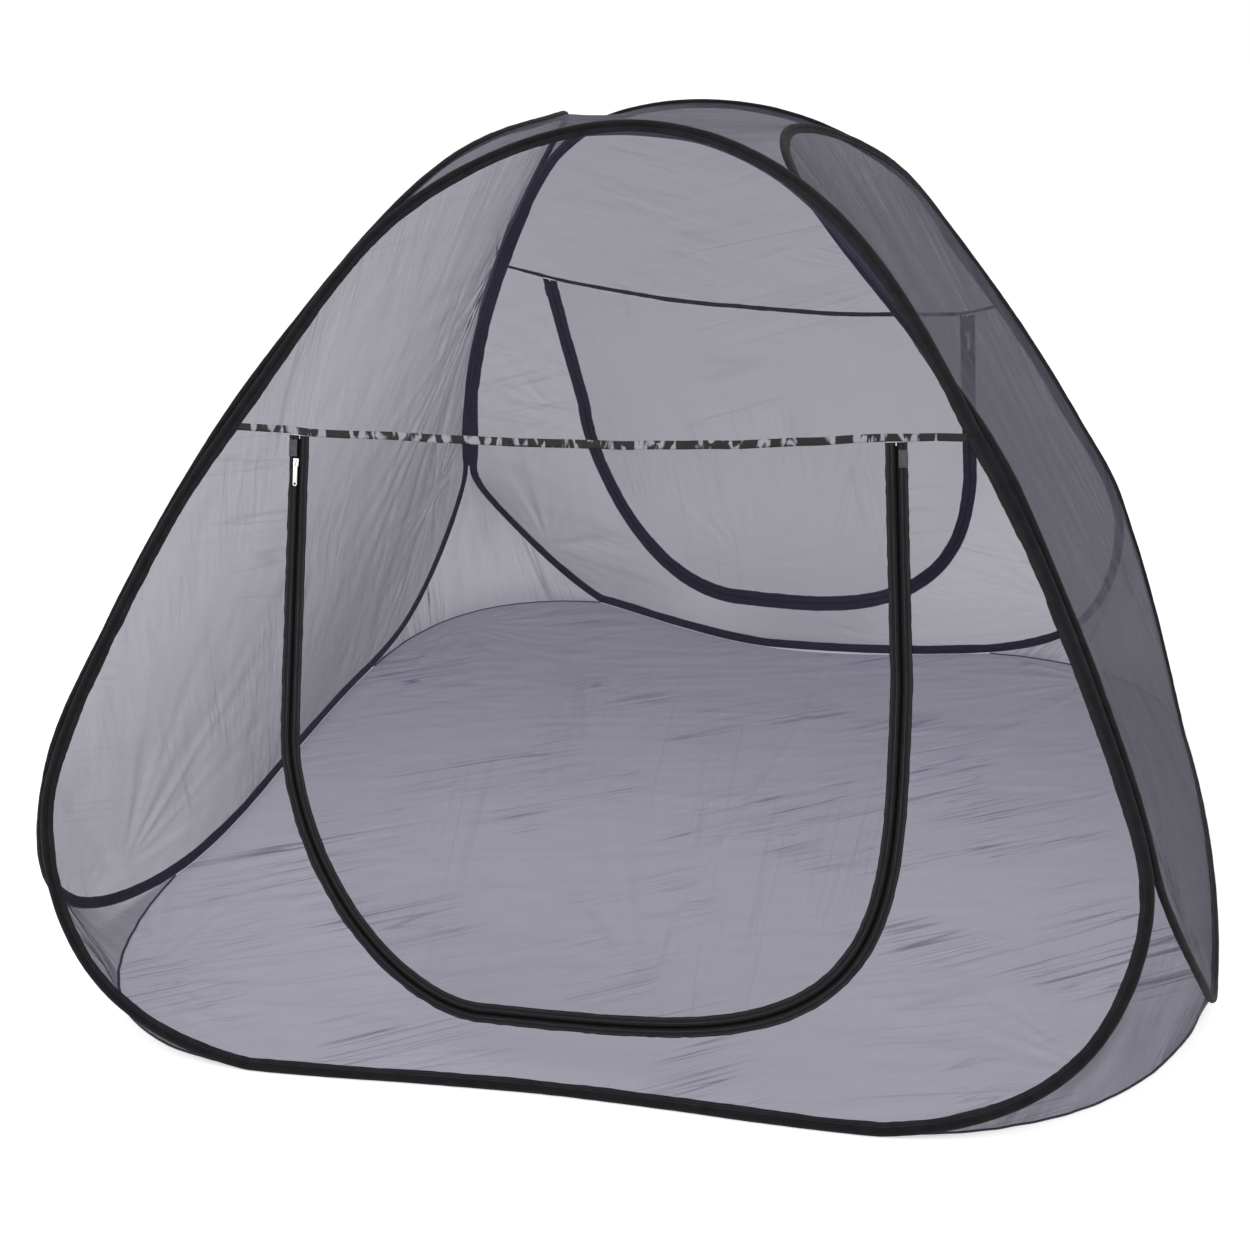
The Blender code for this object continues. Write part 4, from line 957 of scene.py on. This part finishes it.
for name, turn, fans in (("left", 1.15, [((-0.50, 1.12), 0.085, 0.42, 0.0080), ((-0.75, 0.45), 0.10, 0.25, 0.005),
                                         ((0.80, 0.10), 0.10, 0.35, 0.005)]),
                         ("right", 1.35, [((-0.55, 1.10), 0.10, 0.35, 0.0050), ((-0.80, 0.20), 0.10, 0.40, 0.007),
                                          ((0.70, 0.30), 0.10, 0.30, 0.005)])):
    hoop = hoops[name]
    ring = hem_line(hoop, range(len(hoop.curve) + 1))
    make_net(f"{name}_wall_net", f"{name}_net", "tent", [ring], hoop.across, UP, NET_CELLS["side"],
             panel_folds(turn, 200 + len(name), 0.0018, fans), turn, f"{name}_net")


# Seams where neighbouring bindings are sewn together


def make_hoop_seam(first, second):
    """The sewn web between two bindings that lie side by side, from the shoulder to the corner."""
    beside = np.array([tuple(point) for point in second.curve])
    sections = []
    for i in range(0, len(first.curve) // 2, 3):
        here = first.curve[i]
        gaps = np.linalg.norm(beside - np.array(here), axis=1)
        if gaps.min() < SEAM_CLEAR + 0.0006:
            there = Vector(beside[gaps.argmin()])
            square = (there - here).cross(first.tangent(i)).normalized() * SEAM_WEB_HALF
            sections.append([here + square, there + square, there - square, here - square])
    tube(f"{first.name}_{second.name}_seam", sections, [0, 0.012, 0.014, 0.002], False, "binding", "tent")


for first, second in NEIGHBOURS:
    make_hoop_seam(hoops[first], hoops[second])


# Roof, corners and floor

TUCK = SLEEVE_RADIUS - 0.0008
CORNER_FOOT = 0.0010
# The rolled seam round each corner of the floor: its middle's height, its pitch, half its width and height, and how
# far it wanders sideways, and over what length
ROLL_MIDDLE = 0.0017
ROLL_PITCH = 0.006
ROLL_HALVES = (0.0026, 0.0014)
ROLL_WANDER = 0.0012
ROLL_REACH = 0.030


def clear_places(hoop, places, others):
    """The places on a hoop that stand clear of the hoops beside it."""
    near = np.array([tuple(point) for other in others for point in other.curve[::3]])
    return [i for i in places if np.linalg.norm(near - np.array(hoop.curve[i]), axis=1).min() > SEAM_CLEAR]


def beside(hoop, i, others, centre):
    here = hoop.curve[i]
    near = min((point for other in others for point in other.curve[::6]), key=lambda p: (p - here).length)
    return near.lerp(centre, min(1, (near - here).length / (HALF_WIDTH * AIM_SHARE)))


def roof_edge():
    centre = sum((hoop.curve[0] for hoop in hoops.values()), Vector((0, 0, 0))) / len(hoops)
    edge = []
    for name, _ in NEIGHBOURS:
        hoop = hoops[name]
        others = [other for other in hoops.values() if other is not hoop]
        total = len(hoop.curve)
        ordered = [(i + total // 2) % total for i in range(0, total, EDGE_STEP)]
        upper = [i for i in ordered if hoop.curve[i].z > HEIGHT * ROOF_FOOT_SHARE]
        upper = clear_places(hoop, upper, others)
        edge += [hoop.toward(i, beside(hoop, i, others, centre), TUCK) for i in upper]
    return edge + edge[:1]


def lower_run(hoop, side, other):
    """Places down one corner of a hoop, from where it leaves its neighbour to where it meets the ground."""
    half = len(hoop.curve) // 2
    run = range(0, half + 1, EDGE_STEP) if side == "right" else range(len(hoop.curve) - 1, half - 1, -EDGE_STEP)
    run = [i for i in run if hoop.curve[i].z < HEIGHT * CORNER_TOP_SHARE]
    run = clear_places(hoop, run, [other])
    touching = next(k for k, i in enumerate(run) if hoop.curve[i].z <= STAND_HEIGHT * TOUCH_RATIO)
    return run[:touching + 1]


DRAWN_IN = {"front_right": 0.085}
GROUND_MIDDLE = Vector((SHIFT_X, SHIFT_Y, STAND_HEIGHT))


class Corner:
    """A lower corner of the tent, between the right side of one hoop and the left side of the next."""

    def __init__(self, name, first, second):
        self.name = name
        self.hoops = (hoops[first], hoops[second])
        self.runs = (lower_run(hoops[first], "right", hoops[second]), lower_run(hoops[second], "left", hoops[first]))
        self.ends = [hoop.toward(run[-1], GROUND_MIDDLE, TUCK) for hoop, run in zip(self.hoops, self.runs)]
        self.peak = Vector((0, 0, 0))
        for hoop, end in zip(self.hoops, self.ends):
            out = Vector((abs(hoop.out.x), abs(hoop.out.y), 0))
            self.peak += out * end.dot(out) - hoop.out * DRAWN_IN.get(name, FLOOR_CORNER_INSET)

    def outline(self, height):
        """The rounded corner of the floor, from the first hoop to the second."""
        start, end = self.ends
        points = [start * (1 - t) ** 2 + self.peak * 2 * t * (1 - t) + end * t ** 2 for t in np.linspace(0, 1, 25)]
        return [Vector((point.x, point.y, height)) for point in points]

    def side(self, which):
        """Points down the sleeve of one hoop, on the side that faces the other."""
        hoop, other = self.hoops[which], self.hoops[1 - which]
        half = len(other.curve) // 2
        facing = range(0, half) if which == 1 else range(half, len(other.curve))
        points = []
        for i in self.runs[which][:-1]:
            here = hoop.curve[i]
            aim = min((other.curve[k] for k in facing), key=lambda p: abs(p.z - here.z))
            points.append(hoop.toward(i, aim, TUCK))
        return points


# Seen from above, the corners run anticlockwise, so the second hoop of each is the first of the next
corners = [Corner(name, *pair) for name, pair in zip(("front_right", "back_right", "back_left", "front_left"),
                                                     NEIGHBOURS)]

make_net("roof_panel_net", "roof_net", "tent", [roof_edge()], RIGHT, BACK, NET_CELLS["roof"],
         panel_folds(0.4, 301, 0.0020), 0.4)

for seed, corner in enumerate(corners):
    diagonal = (corner.hoops[0].out + corner.hoops[1].out).normalized()
    across = (-diagonal).cross(UP)
    first = corner.side(0)
    low = corner.outline(CORNER_FOOT)
    second = corner.side(1)[::-1]
    tip = (across.dot(first[0]), first[0].z)
    make_net(f"{corner.name}_gusset_net", f"{corner.name}_gusset", "tent",
             [first + low[:1], low + second[:1], second + first[:1]], across, UP,
             NET_CELLS["corner"],
             panel_folds(1.57, 320 + 5 * seed, 0.0045, [(tip, 0.16, 0.30, 0.010)]), 1.57, "corner_net")


for corner in corners:
    outline = resample(corner.outline(ROLL_MIDDLE), ROLL_PITCH)
    wave = along_noise(len(outline), len(outline) * ROLL_PITCH, ROLL_REACH, 340)
    sections = []
    for k, point in enumerate(outline):
        way = (outline[min(k + 1, len(outline) - 1)] - outline[max(k - 1, 0)])
        side = Vector(way).normalized().cross(UP)
        ring = [(ROLL_HALVES[0] * math.cos(a) + ROLL_WANDER * wave[k], ROLL_HALVES[1] * math.sin(a))
                for a in turn_angles(8)]
        sections.append([Vector(point) + side * across + UP * rise for across, rise in ring])
    tube(f"{corner.name}_floor_seam", sections, [0.0005 * k for k in range(8)], False, "seam", "tent")


def floor_edge():
    edge = []
    for corner, after in zip(corners, corners[1:] + corners[:1]):
        edge += corner.outline(0)
        hoop = corner.hoops[1]
        edge += [hoop.toward(i, GROUND_MIDDLE, TUCK)
                 for i in range(corner.runs[1][-1] - EDGE_STEP, after.runs[0][-1] + 3, -EDGE_STEP)]
    edge = [Vector((point.x, point.y, 0)) for point in edge]
    return edge + edge[:1]


def floor_folds(x, y, rim):
    rise = 0.0012 * fold_noise(x, y, 0.30, 0.60, 0.060, 401) + 0.0006 * fold_noise(x, y, 0.15, 0.35, 0.030, 411)
    rise += 0.0045 * np.exp(-((x - 0.10 - 0.05 * np.sin(2.5 * y)) / 0.010) ** 2)
    for centre in ((-0.93, 0.90), (0.86, 0.84), (0.85, -0.93), (-0.90, -1.02)):
        rise += 0.006 * fan_noise(x, y, centre, 0.10, 0.40, 421)
    return np.abs(rise) * eased_in(rim, 0.05)


make_net("floor_panel_net", "floor_net", "tent", [floor_edge()], RIGHT, BACK, NET_CELLS["floor"],
         floor_folds, 0.62, "floor_net", level=0.0004)


# End walls

# The hinge tape: its step, how much of its width it keeps, how far along it waves and leans, and by how much
TAPE_STEP = 0.004
TAPE_KEPT_SHARES = {"front": 0.9, "back": 0.75}
TAPE_REACHES = (0.045, 0.020)
TAPE_WAVE = 0.0010
TAPE_CUP = 0.0009
# The zip tapes: where they start, as a share of the coil, how far along their outer edge puckers, and by how much
ZIP_TOP = 0.0005
ZIP_START_SHARE = 0.3
PUCKER_REACHES = (0.028, 0.011)
PUCKER_RISE = 0.0011
PUCKER_OUT = 0.0006


def make_strip(name, node, body, sections, across, finish):
    """A flat tape: each section runs out over its face and back under it."""
    tube(name, sections, list(across) + list(across[::-1]), False, finish, body, [node])


def make_hinge_tape(wall):
    span = wall.ends[1] - wall.ends[0]
    count = int(span / TAPE_STEP)
    seed = 500 + len(wall.name)
    wave, lean = [along_noise(count, span, reach, seed + k) for k, reach in enumerate(TAPE_REACHES)]
    share = TAPE_KEPT_SHARES[wall.name]
    across = np.linspace(0, TAPE_WIDTH, 5)
    sections = []
    for k, a in enumerate(np.linspace(wall.ends[0], wall.ends[1], count)):
        section = []
        for side in (1, -1):
            for s in across[::side]:
                drop = -TAPE_WIDTH / 2 + (s - TAPE_WIDTH / 2) * share + TAPE_WAVE * wave[k]
                point, normal, _ = wall.face(a, drop)
                cup = TAPE_CUP * lean[k] * (s / TAPE_WIDTH * 2 - 1)
                section.append(point + normal * (cup + side * TAPE_THICKNESS / 2))
        sections.append(section)
    make_strip(f"{wall.name}_tape", f"{wall.name}_hinge_tape", "tent", sections, across, f"{wall.name}_tape")


def make_zip(wall):
    name = wall.name
    stations = wall.zip_stations(ZIP_TOP, ZIP_PITCH)
    count = len(stations)
    for seed, (side, sign, body) in enumerate((("wall", 1, "tent"), ("door", -1, f"{name}_door"))):
        pucker, small = [along_noise(count, count * ZIP_PITCH, reach, first + seed + len(name))
                         for first, reach in zip((520, 530), PUCKER_REACHES)]
        near = COIL_WIDTH * ZIP_START_SHARE
        across = np.linspace(near, ZIP_EDGE, 7)
        sections = []
        for k, station in enumerate(stations):
            section = []
            for face in (1, -1):
                for n in across[::face]:
                    far = (n - near) / (ZIP_EDGE - near)
                    lift = PUCKER_RISE * far ** 2 * (pucker[k] + 0.5 * small[k])
                    wide = n + PUCKER_OUT * far * small[k]
                    section.append(wall.zip_point(station, sign * wide, lift + face * ZIP_TAPE_HALF))
            sections.append(section)
        make_strip(f"{name}_{side}_tape", f"{name}_{side}_zip_tape", body, sections, across, "zip_tape")
        sections = []
        ring = turn_angles(6)
        middle = COIL_WIDTH / 2
        for k, station in enumerate(wall.zip_stations(COIL_DROP, TOOTH_PITCH)):
            wide, thick = [pair[(k + seed) % 2] for pair in (TOOTH_SHARES, TOOTH_HALVES)]
            sections.append([wall.zip_point(station, sign * (middle + wide * COIL_WIDTH * math.cos(a)),
                                            thick * math.sin(a)) for a in ring])
        tube(f"{name}_{side}_coil", sections, list(ring * 0.001), False, "zip_coil", body,
             [f"{name}_{side}_zip_coil"])


def make_wall_nets(wall):
    name = wall.name
    hoop = wall.hoop
    total = len(hoop.curve)
    marks = wall.marks
    lean = (wall.ends[0] - NET_BEYOND_TAPE, wall.ends[1] + NET_BEYOND_TAPE)
    seed = 600 + 40 * len(name)
    hem = hem_line(hoop, [i % total for i in range(marks["left_high"], total + marks["right_high"] + 1)])
    tape = [wall.face(a, -TAPE_WIDTH * 0.8)[0] for a in np.linspace(lean[1], lean[0], 120)]

    def under_tape(start, end, count):
        return [wall.face(a, -NET_ABOVE_DOOR)[0] for a in np.linspace(start, end, count)]

    fans = [((-0.45, 1.05), 0.12, 0.20, 0.003)]
    make_net(f"{name}_top_net", f"{name}_upper_net", "tent", [hem + tape[:1], tape + hem[:1]], hoop.across, UP,
             NET_CELLS["end"],
             panel_folds(0.25, seed, 0.0012, fans), 0.25)

    stations = wall.zip_stations(-NET_ABOVE_DOOR, 2 * ZIP_PITCH)
    outer, inner = [[wall.zip_point(station, sign * (ZIP_EDGE - NET_UNDER_TAPE)) for station in stations]
                    for sign in (1, -1)]
    hem = hem_line(hoop, range(marks["right_low"], marks["left_low"] + 1))
    left = under_tape(lean[0], stations[0][0] - ZIP_EDGE + NET_UNDER_TAPE, 20)[:-1]
    right = under_tape(stations[-1][0] + ZIP_EDGE - NET_UNDER_TAPE, lean[1], 20)[1:]
    fans = [((-0.75, 0.15), 0.10, 0.35, 0.006), ((0.75, 0.15), 0.10, 0.35, 0.008), ((0.62, 0.62), 0.12, 0.25, 0.005)]
    make_net(f"{name}_bottom_net", f"{name}_lower_net", "tent",
             [hem + left[:1], left + outer[:1], outer + right[:1], right + hem[:1]], hoop.across, UP,
             NET_CELLS["end"],
             panel_folds(0.15, seed + 10, 0.0018, fans), 0.15)

    ends = [inner[k].dot(wall.along) - wall.origin.dot(wall.along) for k in (-1, 0)]
    line = under_tape(*ends, 100)
    fans = [((0.10, 0.20), 0.12, 0.30, 0.003)]
    make_net(f"{name}_door_panel", f"{name}_door_net", f"{name}_door", [inner + line[1:2], line[1:-1] + inner[:1]],
             hoop.across, UP, NET_CELLS["end"], panel_folds(1.4, seed + 20, 0.0012, fans), 1.4, "door_net")


for wall in walls.values():
    make_hinge_tape(wall)
    make_zip(wall)
    make_wall_nets(wall)


# Sliders and pulls, with their edges rounded, and the other hard pieces


def rounded_copy(node, name, body, edge):
    """The frame's own piece with rounded edges."""
    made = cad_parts[node].copy()
    made.data = made.data.copy()
    made.name = made.data.name = name
    bpy.context.scene.collection.objects.link(made)
    made.parent = None
    made.matrix_world = Matrix.Identity(4)
    bpy.ops.object.select_all(action="DESELECT")
    made.select_set(True)
    bpy.context.view_layer.objects.active = made
    bpy.ops.object.mode_set(mode="EDIT")
    bpy.ops.mesh.select_all(action="SELECT")
    bpy.ops.mesh.remove_doubles(threshold=0.00002)
    bpy.ops.mesh.tris_convert_to_quads()
    bpy.ops.object.mode_set(mode="OBJECT")
    rounding = made.modifiers.new("rounding", "BEVEL")
    rounding.width = edge
    rounding.segments = 3
    rounding.angle_limit = math.radians(30)
    bpy.ops.object.modifier_apply(modifier="rounding")
    bpy.ops.object.shade_smooth_by_angle(angle=math.radians(35))
    made.data.materials.clear()
    made.data.materials.append(FINISH["slider"])
    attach(made, body)
    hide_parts(node)


for name in walls:
    for node, word, body, edge in (("zip_slider", "slider_body", "slider", 0.00022),
                                   ("outer_pull", "pull_outside", "outer_pull", 0.00025),
                                   ("inner_pull", "pull_inside", "inner_pull", 0.00025)):
        rounded_copy(f"{name}_{node}", f"{name}_{word}", f"{name}_{body}", edge)

for name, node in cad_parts.items():
    if not node.hide_render:
        node.data.materials.clear()
        node.data.materials.append(FINISH["end_patch" if "patch" in name else "wire"])


# Ground, light and camera

GROUND_DROP = 0.0008


def white_behind_net(tree, tint):
    """Whether a ray reaches the eye, and white, turning a little violet where two layers of net lie before it."""
    path = tree.nodes.new("ShaderNodeLightPath").outputs
    seen = maths(tree, "MAXIMUM", path["Is Camera Ray"],
                 maths(tree, "MAXIMUM", path["Is Glossy Ray"], path["Is Transmission Ray"]))
    return seen, mixed(tree, between(tree, path["Transparent Depth"], 0, 2), (1.0, 1.0, 1.0), tint)


bpy.ops.object.select_all(action="DESELECT")
bpy.ops.mesh.primitive_plane_add(size=60, location=(0, 0, -GROUND_DROP))
ground = bpy.context.active_object
ground.name = "ground"
made, tree, shader = new_material("white_ground", 0.9, 0.0)
shader.inputs["Base Color"].default_value = (0.9, 0.9, 0.9, 1)
seen, white = white_behind_net(tree, (0.87, 0.845, 1.0))
tree.links.new(white, shader.inputs["Emission Color"])
tree.links.new(times(tree, seen, 0.55), shader.inputs["Emission Strength"])
ground.data.materials.append(made)
ground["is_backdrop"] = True

world = bpy.data.worlds.new("studio")
bpy.context.scene.world = world
world.use_nodes = True
tree = world.node_tree
for node in list(tree.nodes):
    tree.nodes.remove(node)
seen, white = white_behind_net(tree, (0.90, 0.875, 1.0))
lighting = add_node(tree, "Background", 0, {"Strength": 0.75})
backdrop = add_node(tree, "Background", 0, {"Color": white, "Strength": 1.0})
both = add_node(tree, "MixShader", 0, {"Fac": seen, 1: lighting, 2: backdrop})
tree.links.new(both, tree.nodes.new("ShaderNodeOutputWorld").inputs["Surface"])

for place_at, power in (((-2.5, -3.5, 4.5), 90), ((3.0, -2.5, 4.0), 50)):
    light = bpy.data.lights.new("soft_light", "AREA")
    light.energy = power
    light.size = 3.0
    lamp = bpy.data.objects.new("soft_light", light)
    lamp.location = place_at
    lamp.rotation_euler = (Vector((0, 0, 0.6)) - Vector(place_at)).to_track_quat("-Z", "Y").to_euler()
    bpy.context.scene.collection.objects.link(lamp)

CAMERA_AT = Vector((0.7236 + SHIFT_X, -3.4709 + SHIFT_Y, 1.7678))
YAW = 0.2493
PITCH = 0.3629
ROLL = -0.0156
FOCAL_SHARE = 1730.9 / 1250
view = Vector((-math.sin(YAW) * math.cos(PITCH), math.cos(YAW) * math.cos(PITCH), -math.sin(PITCH)))
right = Vector((math.cos(YAW), math.sin(YAW), 0))
upward = right.cross(view)
right, upward = (math.cos(ROLL) * right + math.sin(ROLL) * upward, math.cos(ROLL) * upward - math.sin(ROLL) * right)
camera = bpy.data.objects.new("camera", bpy.data.cameras.new("camera"))
camera.data.sensor_width = 36
camera.data.lens = 36 * FOCAL_SHARE
camera.matrix_world = Matrix.Translation(CAMERA_AT) @ Matrix((right, upward, -view)).transposed().to_4x4()
bpy.context.scene.collection.objects.link(camera)
bpy.context.scene.camera = camera

scene = bpy.context.scene
scene.view_settings.view_transform = "Standard"
scene.cycles.transparent_max_bounces = 32

low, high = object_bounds()
